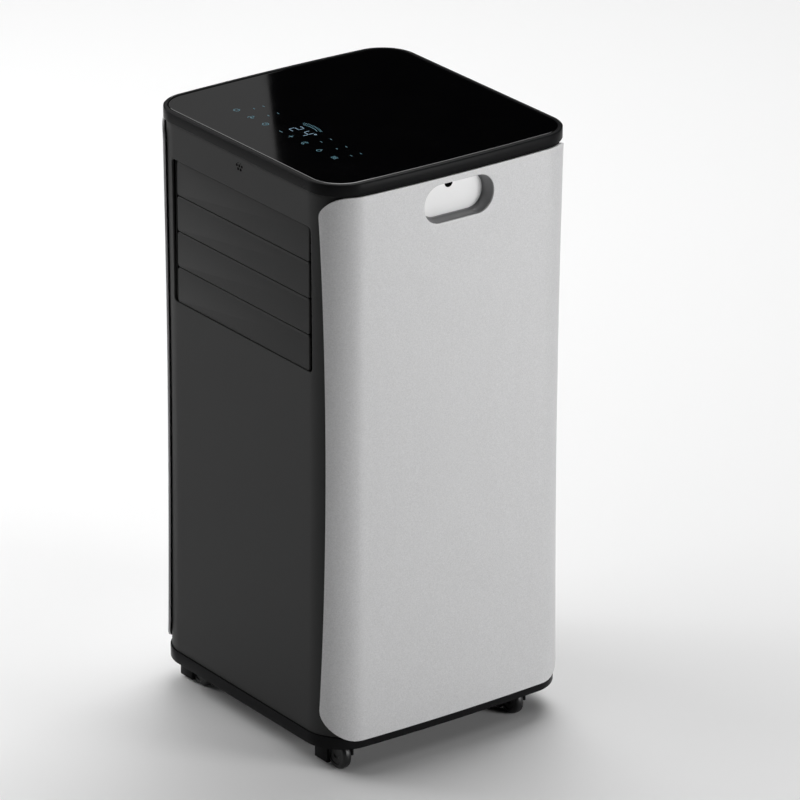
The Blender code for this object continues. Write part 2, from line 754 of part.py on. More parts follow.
def make_hot_side(fins, black, plastic, motor_material, copper):
    """Compressor, condenser, exhaust blower, slinger and pipes, below the deck."""
    foot = floor_high + grommet_height + 2 * clearance
    centre = (compressor_x, compressor_y, 0)
    top = foot + compressor_height
    compressor = turned("compressor", centre, "Z",
                        [(foot, compressor_radius - 14), (foot + 8, compressor_radius - 4),
                         (foot + 20, compressor_radius), (top - 16, compressor_radius),
                         (top - 4, compressor_radius - 12), (top, compressor_radius - 30)], black, steps=24)
    plate = []
    for i in range(3):
        angle = math.radians(90 + 120 * i)
        x = compressor_x + grommet_circle * math.cos(angle)
        y = compressor_y + grommet_circle * math.sin(angle)
        plate.append((x, y))
        turned(f"compressor_grommet_{i + 1}", (x, y, 0), "Z",
               [(floor_high + clearance, 9.0), (floor_high + clearance + 5, 10.0),
                (floor_high + clearance + 9, 7.5),
                (foot - clearance, 9.5)], motor_material, steps=12)
    reach = 1.22
    corners = [(compressor_x + (x - compressor_x) * reach,
                compressor_y + (y - compressor_y) * reach) for x, y in plate]
    feet = loft("compressor_feet", [[(x, y, z) for x, y in corners] for z in (foot, foot + 3)], None,
                smooth=False)
    join(compressor, feet)
    tank_x = compressor_x + compressor_radius + accumulator_radius + 6
    turned("accumulator", (tank_x, compressor_y - 20, 0), "Z",
           [(foot + 40, 8.0), (foot + 48, accumulator_radius), (foot + 142, accumulator_radius),
            (foot + 150, 8.0)],
           black, steps=16)
    coil_y = rear_y - 22 - coil_depth
    box("condenser", (-112, coil_y, well_roof + clearance), (112, coil_y + coil_depth, condenser_top), fins)
    half = exhaust_fan_radius + 12
    back = rear_y - 26
    fan_y = back - 8 - exhaust_fan_width / 2
    front = fan_y - exhaust_fan_width / 2 - 8
    scroll = box("exhaust_housing", (-half, front, exhaust_z - half), (half, back, exhaust_z + half),
                 plastic)
    cut(scroll,
        box("exhaust_room", (-half + 3, front + 3, exhaust_z - half + 3),
            (half - 3, back - 3, exhaust_z + half - 3)),
        rod("exhaust_way", (0, fan_y, exhaust_z), "Y", 5, 60, exhaust_fan_radius, steps=24),
        rod("exhaust_shaft_hole", (0, fan_y, exhaust_z), "Y", -60, 0, 7.0, steps=12),
        box("exhaust_inlet", (-40, front + 12, exhaust_z - half - 5), (40, back - 12,
                                                                       exhaust_z - half + 10)))
    make_fan("exhaust_wheel", (0, fan_y, exhaust_z), exhaust_fan_radius, exhaust_fan_width, plastic)
    make_motor("exhaust_motor", (0, fan_y, exhaust_z), front - clearance, 42.0, 30.0, exhaust_fan_width / 2,
               motor_material)
    slinger = (70, coil_y - 8, floor_high + 30)
    disc = turned("slinger_wheel", slinger, "Y", [(-3, 8), (-3, 22), (3, 22), (3, 8)], plastic, steps=20)
    cut(disc, rod("slinger_bore", slinger, "Y", -8, 8, 2.6, steps=12))
    turned("slinger_motor", slinger, "Y", [(-44, 15.0), (-3 - clearance, 15.0), (-3 - clearance, 2.3),
                                           (2.0, 2.3)],
           motor_material, steps=16)
    make_pipes(top, tank_x, foot, coil_y, copper)


def make_pipes(top, tank_x, foot, coil_y, copper):
    coil_top = condenser_top + pipe_radius + clearance
    (x1, y1), (x2, y2) = pipe_passes()
    tube("discharge_pipe", [(compressor_x, compressor_y, top + clearance), (compressor_x, compressor_y,
                                                                            top + 40),
                            (-104, compressor_y + 20, top + 40), (-104, coil_y + 8, top + 40),
                            (-104, coil_y + 8, coil_top + 4)], pipe_radius, copper)
    tank_y = compressor_y - 20
    tank_top = foot + 150 + clearance
    tube("suction_pipe", [(tank_x, tank_y, tank_top), (tank_x, tank_y, tank_top + 40), (x1, tank_y,
                                                                                        tank_top + 40),
                          (x1, y1, tank_top + 40), (x1, y1, deck_z + 60), (x1 + 2, coil_y - 20,
                                                                           deck_z + 60)],
         pipe_radius, copper)
    tube("capillary_tube", [(104, coil_y + 8, coil_top), (104, coil_y + 8, coil_top + 30),
                            (x2, coil_y + 8, coil_top + 30), (x2, y2, coil_top + 30), (x2, y2,
                                                                                       deck_z + 40)],
         pipe_radius * 0.5, copper)


def make_controls(plastic, metal):
    box("control_box", (-70, front_y + 20, deck_z + deck_thickness + clearance),
        (70, front_y + 52, outlet_bottom - 12), plastic)
    foot = floor_high + clearance
    rod("run_capacitor", (78, front_y + 60, 0), "Z", foot, foot + 70, 17.0, metal, 20)


def main():
    for thing in list(bpy.data.objects):
        bpy.data.objects.remove(thing)
    shell = paint("charcoal_plastic", (0.028, 0.028, 0.030), 0.42)
    gloss = paint("black_gloss_plastic", (0.006, 0.006, 0.007), 0.22)
    silver = paint("silver_paint", (0.60, 0.60, 0.61), 0.38, 0.7)
    cup = paint("light_plastic", (0.72, 0.72, 0.72), 0.5)
    glass = paint("black_glass", (0.003, 0.003, 0.004), 0.04)
    rubber = paint("black_rubber", (0.02, 0.02, 0.02), 0.8)
    wheel = paint("wheel_nylon", (0.015, 0.015, 0.016), 0.45)
    steel = paint("zinc_steel", (0.55, 0.56, 0.58), 0.35, 1.0)
    fins = paint("aluminium_fins", (0.78, 0.79, 0.80), 0.4, 1.0)
    inner = paint("inner_plastic", (0.35, 0.36, 0.37), 0.6)
    black = paint("black_enamel", (0.01, 0.01, 0.01), 0.35)
    copper = paint("copper_pipe", (0.72, 0.38, 0.22), 0.3, 1.0)
    board = paint("circuit_board", (0.02, 0.12, 0.05), 0.5)

    make_tray(gloss)
    make_front_cover(shell)
    make_rear_cover(shell)
    for name, side in (("left", -1), ("right", 1)):
        make_side_panel(f"{name}_side_panel", side, silver)
        make_handle_cup(f"{name}_handle_cup", side, cup)
    make_cap(gloss, glass, board)
    make_outlet_duct(shell, inner)
    make_louvers(shell, steel)
    for name, z, height in filter_rows():
        make_filter(name, z, height, shell)
    make_collar(shell)
    make_plug("upper_drain_plug", upper_plug_z, rubber)
    make_plug("lower_drain_plug", lower_plug_z, rubber)
    make_gland(rubber)
    make_deck(inner)
    make_cold_side(inner, fins, black)
    make_hot_side(fins, black, inner, rubber, copper)
    make_controls(inner, steel)
    places = ("front_left", "front_right", "rear_left", "rear_right")
    for place, (x, y) in zip(places, caster_places()):
        make_caster(place, x, y, gloss, wheel, steel)


main()
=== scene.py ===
# A portable air conditioner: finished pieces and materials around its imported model.
# Lengths are in metres. X is the width, the front faces -Y and Z is up from the floor.
import math

import bmesh
import bpy
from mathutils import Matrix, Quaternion, Vector


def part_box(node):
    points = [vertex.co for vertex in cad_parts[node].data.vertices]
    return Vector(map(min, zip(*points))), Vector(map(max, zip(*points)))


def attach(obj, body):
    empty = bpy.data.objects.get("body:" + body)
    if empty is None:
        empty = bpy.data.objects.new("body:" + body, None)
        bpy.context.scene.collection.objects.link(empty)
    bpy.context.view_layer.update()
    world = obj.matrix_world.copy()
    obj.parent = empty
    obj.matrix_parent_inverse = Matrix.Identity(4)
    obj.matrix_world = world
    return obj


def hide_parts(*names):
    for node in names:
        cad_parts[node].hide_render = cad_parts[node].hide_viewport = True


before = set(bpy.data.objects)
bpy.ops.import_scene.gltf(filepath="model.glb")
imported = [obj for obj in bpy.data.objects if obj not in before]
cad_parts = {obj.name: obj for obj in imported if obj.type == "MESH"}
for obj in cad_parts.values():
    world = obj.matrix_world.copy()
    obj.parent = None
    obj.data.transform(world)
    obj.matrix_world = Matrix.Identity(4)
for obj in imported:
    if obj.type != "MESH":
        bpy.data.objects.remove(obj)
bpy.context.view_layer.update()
mm = 0.001

trayLow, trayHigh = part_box("base_tray")
capLow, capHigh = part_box("top_cover")
glassLow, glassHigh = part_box("control_glass")
frontLow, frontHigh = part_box("front_cover")

casing = {
    "crown": 5.4 * mm,  # how far the sides bulge
    "cornerRadius": 44.7 * mm,
    "capRadius": 40.7 * mm,
    "waist": 3.2 * mm,  # how far the walls draw in at half height
    "setback": 1.5 * mm,  # the covers stand this far inside the cap and the skirt
    "wall": 2.5 * mm,
    "edge": 0.5 * mm,
    "halfGap": 0.2 * mm,  # between each cover and the casing's middle
    "rows": 40,
    "cornerSteps": 27,
}
halfWidth = trayHigh.x - casing["crown"]
halfDepth = (trayHigh.y - trayLow.y) / 2
bodyY = (trayHigh.y + trayLow.y) / 2
skirtZ, rimZ = trayLow.z, capHigh.z
middleZ, halfHeight = (skirtZ + rimZ) / 2, (rimZ - skirtZ) / 2


class Wire:
    # a socket that takes Python's +, - and *, each of which adds a Math node
    def __init__(self, tree, socket):
        self.tree, self.socket = tree, socket

    def math(self, operation, other):
        return self.tree.add("ShaderNodeMath", {"operation": operation}, (self, other))

    def __add__(self, other):
        return self.math("ADD", other)

    def __sub__(self, other):
        return self.math("SUBTRACT", other)

    def __mul__(self, other):
        return self.math("MULTIPLY", other)


class Tree:
    def __init__(self, nodeTree):
        self.tree = nodeTree

    # adds one node: its settings first, then the values or links of its sockets
    def add(self, kind, settings=None, inputs=(), output=0):
        node = self.tree.nodes.new(kind)
        for name, value in (settings or {}).items():
            setattr(node, name, value)
        for key, value in inputs.items() if isinstance(inputs, dict) else enumerate(inputs):
            if isinstance(value, Wire):
                self.tree.links.new(value.socket, node.inputs[key])
            else:
                node.inputs[key].default_value = value
        return Wire(self, node.outputs[output])

    def joined(self, *parts):
        node = self.tree.nodes.new("GeometryNodeJoinGeometry")
        for part in reversed(parts):
            self.tree.links.new(part.socket, node.inputs[0])
        return Wire(self, node.outputs[0])


def newMaterial(name, colour, roughness, metallic=0.0, coat=0.0, specular=0.5):
    # a material with its shader's even values; what varies is fed in afterwards
    material = bpy.data.materials.new(name)
    material.use_nodes = True
    shader = material.node_tree.nodes["Principled BSDF"]
    shader.inputs["Base Color"].default_value = (*colour, 1)
    shader.inputs["Roughness"].default_value = roughness
    shader.inputs["Metallic"].default_value = metallic
    shader.inputs["Coat Weight"].default_value = coat
    shader.inputs["Coat Roughness"].default_value = 0.08
    shader.inputs["Specular IOR Level"].default_value = specular
    return material, Tree(material.node_tree), shader


def feed(tree, shader, name, wire):
    tree.tree.links.new(wire.socket, shader.inputs[name])


def place(tree):
    return tree.add("ShaderNodeTexCoord", output="Object")


def noise(tree, scale, detail=3.0, roughness=0.55, coords=None):
    return tree.add("ShaderNodeTexNoise", inputs={
        "Vector": coords or place(tree), "Scale": scale, "Detail": detail, "Roughness": roughness})


def tinted(tree, colour, wire, amount):
    # the colour made up to this share darker or lighter where the wire runs from 0 to 1
    dark, light = (tuple(c * f for c in colour) + (1,) for f in (1 - amount, 1 + amount))
    return tree.add("ShaderNodeMix", {"data_type": "RGBA"}, {0: wire, 6: dark, 7: light}, output=2)


def bump(tree, shader, height, distance, strength=1.0):
    feed(tree, shader, "Normal", tree.add("ShaderNodeBump", inputs={
        "Strength": strength, "Distance": distance, "Height": height}))


def mouldedPlastic(name, colour, roughness, grain=0.9 * mm, depth=0.02 * mm, tone=0.08, specular=0.5):
    # a fine moulded grain over broad, faint changes of tone and gloss
    material, tree, shader = newMaterial(name, colour, roughness, specular=specular)
    fine = noise(tree, 1 / grain, 2.0)
    broad = noise(tree, 14.0, 4.0)
    feed(tree, shader, "Base Color", tinted(tree, colour, broad * 0.6 + fine * 0.4, tone))
    feed(tree, shader, "Roughness", broad * 0.10 + (roughness - 0.05) + (fine - 0.5) * 0.08)
    bump(tree, shader, fine, depth)
    return material


def silverPaint():
    colour, roughness = (0.58, 0.58, 0.585), 0.5
    material, tree, shader = newMaterial(
        "silverPaint", colour, roughness, metallic=0.15, coat=0.05, specular=0.25)
    flakes = tree.add("ShaderNodeTexVoronoi", inputs={"Vector": place(tree), "Scale": 1100.0}, output="Color")
    flake = tree.add("ShaderNodeSeparateColor", inputs=(flakes,))
    mottle = noise(tree, 520.0, 2.0, 0.7)
    cloud = noise(tree, 9.0, 3.0)
    grain = (mottle - 0.5) * 1.3 + 0.5
    speckle = flake * 0.45 + grain * 0.5 + cloud * 0.1
    feed(tree, shader, "Base Color", tinted(tree, colour, speckle, 0.16))
    feed(tree, shader, "Roughness", flake * 0.10 + cloud * 0.06 + (roughness - 0.08))
    bump(tree, shader, mottle, 0.012 * mm)
    return material


def blackGlass():
    colour = (0.0012, 0.0012, 0.0014)
    material, tree, shader = newMaterial("blackGlass", colour, 0.035, specular=0.55)
    smear = noise(tree, 18.0, 5.0, 0.6)
    feed(tree, shader, "Roughness", smear * 0.05 + 0.02)
    feed(tree, shader, "Base Color", tinted(tree, colour, smear, 0.2))
    return material


def brushedMetal(name, colour, roughness, stretch):
    # brush lines that run along the axis with the smallest stretch
    material, tree, shader = newMaterial(name, colour, roughness, metallic=1.0)
    coords = tree.add("ShaderNodeMapping", inputs={"Vector": place(tree), "Scale": stretch})
    lines = noise(tree, 60.0, 4.0, 0.7, coords)
    feed(tree, shader, "Base Color", tinted(tree, colour, lines, 0.12))
    feed(tree, shader, "Roughness", lines * 0.16 + (roughness - 0.08))
    bump(tree, shader, lines, 0.03 * mm)
    return material


def glow(name, colour, strength):
    material, tree, shader = newMaterial(name, tuple(c * 0.2 for c in colour), 0.4)
    patch = noise(tree, 240.0, 1.0)
    feed(tree, shader, "Emission Color", tinted(tree, colour, patch, 0.12))
    shader.inputs["Emission Strength"].default_value = strength
    return material


def circuitBoard():
    colour = (0.02, 0.12, 0.05)
    material, tree, shader = newMaterial("circuitBoard", colour, 0.4)
    tracks = tree.add("ShaderNodeTexBrick", inputs={
        "Vector": place(tree), "Scale": 120.0, "Mortar Size": 0.08,
        "Color1": (*colour, 1), "Color2": (0.03, 0.17, 0.07, 1), "Mortar": (0.01, 0.07, 0.03, 1)})
    feed(tree, shader, "Base Color", tracks)
    return material


finishes = {
    "charcoal": mouldedPlastic("charcoalPlastic", (0.040, 0.040, 0.040), 0.5, specular=0.06),
    "louver": mouldedPlastic("louverPlastic", (0.038, 0.038, 0.038), 0.46, specular=0.06),
    "gloss": mouldedPlastic("blackGlossPlastic", (0.010, 0.010, 0.0105), 0.30, 1.4 * mm, 0.006 * mm,
                            specular=0.03),
    "silver": silverPaint(),
    # the pocket's grey walls and the white plate on its back wall are shaded and lit copies of one pocket:
    # painted shade and painted light
    "cup": mouldedPlastic("greyPlastic", (0.26, 0.26, 0.265), 0.5),
    "litBackWall": mouldedPlastic("paintedLightPlate", (0.93, 0.93, 0.93), 0.45, tone=0.03),
    "glass": blackGlass(),
    "rubber": mouldedPlastic("blackRubber", (0.018, 0.018, 0.018), 0.75, 0.6 * mm, 0.04 * mm),
    "nylon": mouldedPlastic("wheelNylon", (0.010, 0.010, 0.0105), 0.34, 1.1 * mm, 0.012 * mm,
                            specular=0.3),
    # a near-black matte finish that paints the shade inside holes which are not cut
    "void": mouldedPlastic("paintedHoleShade", (0.002, 0.002, 0.002), 0.9, specular=0.0),
    "steel": brushedMetal("zincSteel", (0.55, 0.56, 0.58), 0.34, (1, 1, 12)),
    "fins": brushedMetal("aluminiumFins", (0.78, 0.79, 0.80), 0.40, (8, 1, 1)),
    "copper": brushedMetal("copperPipe", (0.72, 0.38, 0.22), 0.30, (1, 1, 6)),
    "inner": mouldedPlastic("innerPlastic", (0.30, 0.31, 0.32), 0.55),
    "enamel": mouldedPlastic("blackEnamel", (0.012, 0.012, 0.012), 0.32, 2.2 * mm, 0.02 * mm),
    "screen": mouldedPlastic("filterMesh", (0.10, 0.10, 0.105), 0.6),
    "digits": glow("digitGlow", (0.36, 0.60, 0.80), 0.50),
    "icons": glow("iconGlow", (0.12, 0.46, 0.60), 0.24),
    "board": circuitBoard(),
}
print("materials:", len(finishes))


def waistAt(z):
    t = (z - middleZ) / halfHeight
    return casing["waist"] * (1 - t * t)


def crowned(x, y):
    # bulges the sides outward; y is measured from the casing's middle
    side = min(abs(x) / halfWidth, 1.0) ** 6
    return x + math.copysign(casing["crown"] * (1 - (y / halfDepth) ** 2) * side, x)


def arc(cx, cy, radius, start, end, steps):
    for i in range(steps + 1):
        angle = math.radians(start + (end - start) * i / steps)
        yield cx + radius * math.cos(angle), cy + radius * math.sin(angle)


def outline(z, inset, radius, steps=24, sideSteps=16):
    # the casing's plan at a height, drawn in by an inset
    a, b, r = halfWidth - inset, halfDepth - inset, max(radius - inset, 0.5 * mm)
    right = list(arc(a - r, r - b, r, -90, 0, steps))
    right += [(a, (b - r) * (2 * i / sideSteps - 1)) for i in range(1, sideSteps)]
    right += arc(a - r, b - r, r, 0, 90, steps)
    path = right + [(-x, y) for x, y in reversed(right)]
    return [Vector((crowned(x, y), y + bodyY, z)) for x, y in path]


def newObject(name, mesh):
    thing = bpy.data.objects.new(name, mesh)
    bpy.context.scene.collection.objects.link(thing)
    return thing


def meshFrom(name, points, faces):
    mesh = bpy.data.meshes.new(name)
    mesh.from_pydata([tuple(p) for p in points], [], faces)
    tidy = bmesh.new()
    tidy.from_mesh(mesh)
    bmesh.ops.remove_doubles(tidy, verts=tidy.verts, dist=1e-7)
    bmesh.ops.recalc_face_normals(tidy, faces=tidy.faces)
    tidy.to_mesh(mesh)
    tidy.free()
    return newObject(name, mesh)


def bandFaces(rings, count, closed=True):
    for r in range(rings - 1):
        for i in range(count if closed else count - 1):
            j = (i + 1) % count
            yield [r * count + i, r * count + j, (r + 1) * count + j, (r + 1) * count + i]


def loft(name, rings, capped=True):
    count = len(rings[0])
    points = [p for ring in rings for p in ring]
    faces = list(bandFaces(len(rings), count))
    if capped:
        faces += [list(range(count)), list(range(len(points) - count, len(points)))]
    return meshFrom(name, points, faces)


def axisPoint(axis, along, u, v):
    return Vector({"X": (along, u, v), "Y": (u, along, v), "Z": (u, v, along)}[axis])


def turned(name, centre, axis, profile, steps=64, capped=True):
    rings = []
    for along, radius in profile:
        ring = arc(0, 0, radius, 0, 360 - 360 / steps, steps - 1)
        rings.append([Vector(centre) + axisPoint(axis, along, u, v) for u, v in ring])
    return loft(name, rings, capped)


def roundedBox(name, low, high, edge, segments=3):
    (x0, y0, z0), (x1, y1, z1) = low, high
    rings = [[(x0, y0, z), (x1, y0, z), (x1, y1, z), (x0, y1, z)] for z in (z0, z1)]
    bevel = {"width": edge, "segments": segments, "limit_method": "NONE"}
    return modified(loft(name, rings), ("BEVEL", bevel))


def roundedRectangle(width, height, radius, steps=8):
    a, b = width / 2 - radius, height / 2 - radius
    corners = ((a, -b, -90), (a, b, 0), (-a, b, 90), (-a, -b, 180))
    return [p for cx, cy, start in corners for p in arc(cx, cy, radius, start, start + 90, steps)]


def modified(thing, *steps):
    # adds modifiers and makes their result the object's own plain mesh
    for kind, settings in steps:
        modifier = thing.modifiers.new(kind, kind)
        for name, value in settings.items():
            setattr(modifier, name, value)
    graph = bpy.context.evaluated_depsgraph_get()
    mesh = bpy.data.meshes.new_from_object(thing.evaluated_get(graph))
    thing.modifiers.clear()
    thing.data = mesh
    return thing


def without(thing, *cutters):
    modified(thing, *(("BOOLEAN", {"object": cutter}) for cutter in cutters))
    for cutter in cutters:
        bpy.data.objects.remove(cutter)
    return thing


def together(name, *things):
    joined = bmesh.new()
    for thing in things:
        joined.from_mesh(thing.data)
        bpy.data.objects.remove(thing)
    mesh = bpy.data.meshes.new(name)
    joined.to_mesh(mesh)
    joined.free()
    return newObject(name, mesh)


def finished(thing, finish, body, nodes=(), sharp=32):
    # the last step of every piece: its material, its shading and its body
    mesh = thing.data
    mesh.shade_smooth()
    mesh.set_sharp_from_angle(angle=math.radians(sharp))
    mesh.materials.clear()
    mesh.materials.append(finishes[finish])
    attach(thing, body)
    if nodes:
        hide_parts(*nodes)
    return thing


def pieceName(node):
    # front_left_caster_wheel becomes frontLeftCasterWheel
    first, *others = node.split("_")
    return first + "".join(word.title() for word in others)


def wallSteps(thickness, edge):
    # gives a sheet its thickness inward and rounds its edges
    return (("SOLIDIFY", {"thickness": thickness, "offset": -1.0, "use_even_offset": True}),
            ("BEVEL", {"width": edge, "segments": 3, "limit_method": "ANGLE",
                       "angle_limit": math.radians(50)}))


class Sheet:
    # a grid of points on a wall, in which blocks of cells can be left out or bridged to a rounded hole
    def __init__(self, rows, flat, lift):
        self.rows, self.flat, self.lift = rows, flat, lift
        self.gone, self.extra = set(), []

    def cellsIn(self, low, high):
        found = []
        for j in range(len(self.rows) - 1):
            for i in range(len(self.rows[0]) - 1):
                corners = [self.flat(self.rows[b][a]) for a, b in (
                    (i, j), (i + 1, j), (i + 1, j + 1), (i, j + 1))]
                middle = [sum(c[k] for c in corners) / 4 for k in (0, 1)]
                if all(low[k] < middle[k] < high[k] for k in (0, 1)):
                    found.append((i, j))
        return found

    def leaveOut(self, low, high, within=lambda y: True):
        self.gone |= {(i, j) for i, j in self.cellsIn(low, high)
                      if within((self.rows[j][i].y + self.rows[j][i + 1].y) / 2)}

    def punch(self, low, high, centre, width, height, radius, loops=3):
        # swaps a block of cells for rings of faces that close in on a rounded opening
        cells = self.cellsIn(low, high)
        i0, i1 = min(c[0] for c in cells), max(c[0] for c in cells) + 1
        j0, j1 = min(c[1] for c in cells), max(c[1] for c in cells) + 1
        self.gone |= {(i, j) for i in range(i0, i1) for j in range(j0, j1)}
        border = [self.rows[j0][i] for i in range(i0, i1)]
        border += [self.rows[j][i1] for j in range(j0, j1)]
        border += [self.rows[j1][i] for i in range(i1, i0, -1)]
        border += [self.rows[j][i0] for j in range(j1, j0, -1)]
        reach = (width / 2 - radius, height / 2 - radius)
        rings = [border]
        for step in range(1, loops + 1):
            ring = []
            for p in border:
                a, b = (q - c for q, c in zip(self.flat(p), centre))
                core = [max(-limit, min(limit, q)) for q, limit in zip((a, b), reach)]
                far = math.hypot(a - core[0], b - core[1])
                edge = [k + radius * (q - k) / far for q, k in zip((a, b), core)]
                share = (step / loops) ** 0.8
                ring.append(self.lift(*(c + q + (e - q) * share for c, q, e in zip(centre, (a, b), edge))))
            rings.append(ring)
        self.extra.append(rings)

    def build(self, name):
        count = len(self.rows[0])
        points = [p for row in self.rows for p in row]
        faces = [[j * count + i, j * count + i + 1, (j + 1) * count + i + 1, (j + 1) * count + i]
                 for j in range(len(self.rows) - 1) for i in range(count - 1) if (i, j) not in self.gone]
        for rings in self.extra:
            start = len(points)
            points += [p for ring in rings for p in ring]
            faces += [[start + k for k in face] for face in bandFaces(len(rings), len(rings[0]))]
        thing = meshFrom(name, points, faces)
        loose = bmesh.new()
        loose.from_mesh(thing.data)
        bmesh.ops.delete(loose, geom=[v for v in loose.verts if not v.link_faces], context="VERTS")
        # an open sheet has no inside, so its faces are turned away from the casing's middle line
        middle = Vector((0, bodyY))
        away = sum(f.normal.xy.dot(f.calc_center_median().xy - middle) * f.calc_area() for f in loose.faces)
        if away < 0:
            bmesh.ops.reverse_faces(loose, faces=loose.faces)
        loose.to_mesh(thing.data)
        loose.free()
        return thing


def geometryPiece(name, sizes, build, material):
    # runs a node group with named inputs on an empty mesh, and keeps the result as a plain mesh
    group = bpy.data.node_groups.new(name, "GeometryNodeTree")
    group.interface.new_socket("Geometry", in_out="OUTPUT", socket_type="NodeSocketGeometry")
    kinds = {float: "NodeSocketFloat", int: "NodeSocketInt", tuple: "NodeSocketVector"}
    sockets = {key: group.interface.new_socket(key, in_out="INPUT", socket_type=kinds[type(value)])
               for key, value in sizes.items()}
    tree = Tree(group)
    entry = group.nodes.new("NodeGroupInput")
    made = build(tree, {key: Wire(tree, entry.outputs[key]) for key in sizes})
    solid = tree.add("GeometryNodeRealizeInstances", inputs=(made,))
    painted = tree.add("GeometryNodeSetMaterial", inputs={"Geometry": solid, "Material": material})
    group.links.new(painted.socket, group.nodes.new("NodeGroupOutput").inputs[0])
    thing = newObject(name, bpy.data.meshes.new(name))
    modifier = thing.modifiers.new(name, "NODES")
    modifier.node_group = group
    for key, value in sizes.items():
        modifier[sockets[key].identifier] = value
    return modified(thing)


outlet = {
    "width": 263.6 * mm, "height": 169.6 * mm, "corner": 5.5 * mm,
    "drop": 55.8 * mm,  # from the cap's rim to the louvers' upper edge
    "relief": 0.5 * mm,  # room above the louvers
    "margin": 6 * mm,
}
handle = {
    "length": 94.3 * mm, "height": 45.3 * mm, "radius": 21.5 * mm, "margin": 14 * mm,
    "drop": 44.5 * mm,  # from the cap's rim to the pocket's middle
    "clear": 4 * mm,  # the covers are cut away this far round the pocket
    "inboard": 20 * mm,  # and this far in from the side
}
outletTop = rimZ - outlet["drop"] + outlet["relief"]
outletLow = rimZ - outlet["drop"] - outlet["height"]
handleZ = rimZ - handle["drop"]
cutZ, cutY = (handle[key] / 2 + handle["clear"] for key in ("height", "length"))
cutX = halfWidth - handle["inboard"]
flatEnd = halfWidth - casing["cornerRadius"]


def coverRows(side, levels, columns):
    # rows of points round one half of the casing, from its left middle to its right middle
    rows = []
    for z in levels:
        inset = casing["setback"] + waistAt(z)
        a, b, r = halfWidth - inset, halfDepth - inset, casing["cornerRadius"] - inset
        half = [(x, -b) for x in columns] + list(arc(a - r, r - b, r, -90, 0, casing["cornerSteps"]))
        half += [(a, y) for y in (-0.6 * (b - r), -0.5 * (b - r), -cutY, -0.5 * cutY, -casing["halfGap"])]
        path = [(-x, y) for x, y in reversed(half[1:])] + half
        rows.append([Vector((crowned(x, y), -side * y + bodyY, z)) for x, y in path])
    return rows


def coverFace(side):
    # how far forward (-1) or back (1) a cover stands at a width and a height
    def lift(x, z):
        inset = casing["setback"] + waistAt(z)
        b, r = halfDepth - inset, casing["cornerRadius"] - inset
        past = max(abs(x) - flatEnd, 0.0)
        return Vector((x, side * (b - r + math.sqrt(max(r * r - past * past, 0.0))) + bodyY, z))
    return lift


def levelsBetween(low, high, *extra):
    # even levels, and the extra ones in place of any that are close to them
    step = (high - low) / casing["rows"]
    levels = [low + step * i for i in range(1, casing["rows"])]
    kept = [z for z in levels if all(abs(z - e) > 0.35 * step for e in extra)]
    return sorted([low, high, *kept, *extra])


def spread(limit, count):
    return [limit * i / count for i in range(count + 1)]


def cutForHandles(sheet, within):
    for left, right in ((-1, -cutX), (cutX, 1)):
        sheet.leaveOut((left, handleZ - cutZ), (right, handleZ + cutZ), within)


def buildFrontCover():
    low, high = frontLow.z, frontHigh.z
    margins = [outletLow + d * mm for d in range(-9, 7, 3)] + [outletTop + d * mm for d in range(-6, 10, 3)]
    levels = levelsBetween(low, high, handleZ - cutZ, handleZ + cutZ, *margins)
    grown = outlet["width"] / 2 + outlet["margin"]
    columns = spread(grown - 2 * outlet["margin"], 20)
    sheet = Sheet(coverRows(-1, levels, columns), lambda p: (p.x, p.z), coverFace(-1))
    cutForHandles(sheet, lambda y: y > bodyY - cutY)
    sheet.punch((-grown, outletLow - outlet["margin"]), (grown, outletTop + outlet["margin"]),
                (0, (outletLow + outletTop) / 2), outlet["width"], outletTop - outletLow, outlet["corner"])
    cover = modified(sheet.build("frontCover"), *wallSteps(casing["wall"], casing["edge"]))
    finished(cover, "charcoal", "casing", ("front_cover",))


sensor = {"drop": 24.4 * mm, "pitch": 4.7 * mm, "radius": 1.65 * mm, "depth": 1.2 * mm, "proud": 0.06 * mm}


def buildSensorHoleShade():
    # seven black discs above the louvers, painted shade standing in for small holes, one in the middle of a
    # ring of six
    z = rimZ - sensor["drop"]
    centre = coverFace(-1)(0, z)

    def build(tree, size):
        dot = tree.add("GeometryNodeMeshCylinder", {}, {
            "Vertices": 16, "Radius": size["Radius"], "Depth": size["Depth"]})
        ring = tree.add("GeometryNodeMeshCircle", {}, {"Vertices": 6, "Radius": size["Pitch"]})
        middle = tree.add("GeometryNodeMeshLine", {}, {"Count": 1})
        spots = tree.joined(ring, middle)
        dots = tree.add("GeometryNodeInstanceOnPoints", {}, {"Points": spots, "Instance": dot})
        return tree.add("GeometryNodeTransform", {}, {"Geometry": dots, "Translation": size["Place"],
                                                      "Rotation": (math.pi / 2, 0, 0)})

    sizes = {"Radius": sensor["radius"], "Depth": sensor["depth"], "Pitch": sensor["pitch"],
             "Place": (centre.x, centre.y + sensor["depth"] / 2 - sensor["proud"], z)}
    finished(geometryPiece("sensorHoleShade", sizes, build, finishes["void"]), "void", "casing")


panel = {
    "proud": 3.2 * mm, "thickness": 2.2 * mm, "topGap": 1.2 * mm, "lift": 11 * mm,
    "wrap": 0.40,  # how far it turns onto the front and the back, in radians
    "bow": 4 * mm, "topRadius": 24 * mm, "footRadius": 36 * mm, "edge": 0.95 * mm, "columns": 14,
}
panelLow, panelHigh = skirtZ + panel["lift"], capLow.z - panel["topGap"]


def panelReach(z):
    # how far behind the front face the panel's edge runs
    t = (z - middleZ) / halfHeight
    corner = casing["cornerRadius"] + panel["proud"]
    reach = corner * (1 - math.cos(panel["wrap"])) + panel["bow"] * (1 - t * t)
    for gap, radius in ((z - panelLow, panel["footRadius"]), (panelHigh - z, panel["topRadius"])):
        if gap < radius:
            reach += radius - math.sqrt(max(radius**2 - (radius - gap) ** 2, 0.0))
    return reach


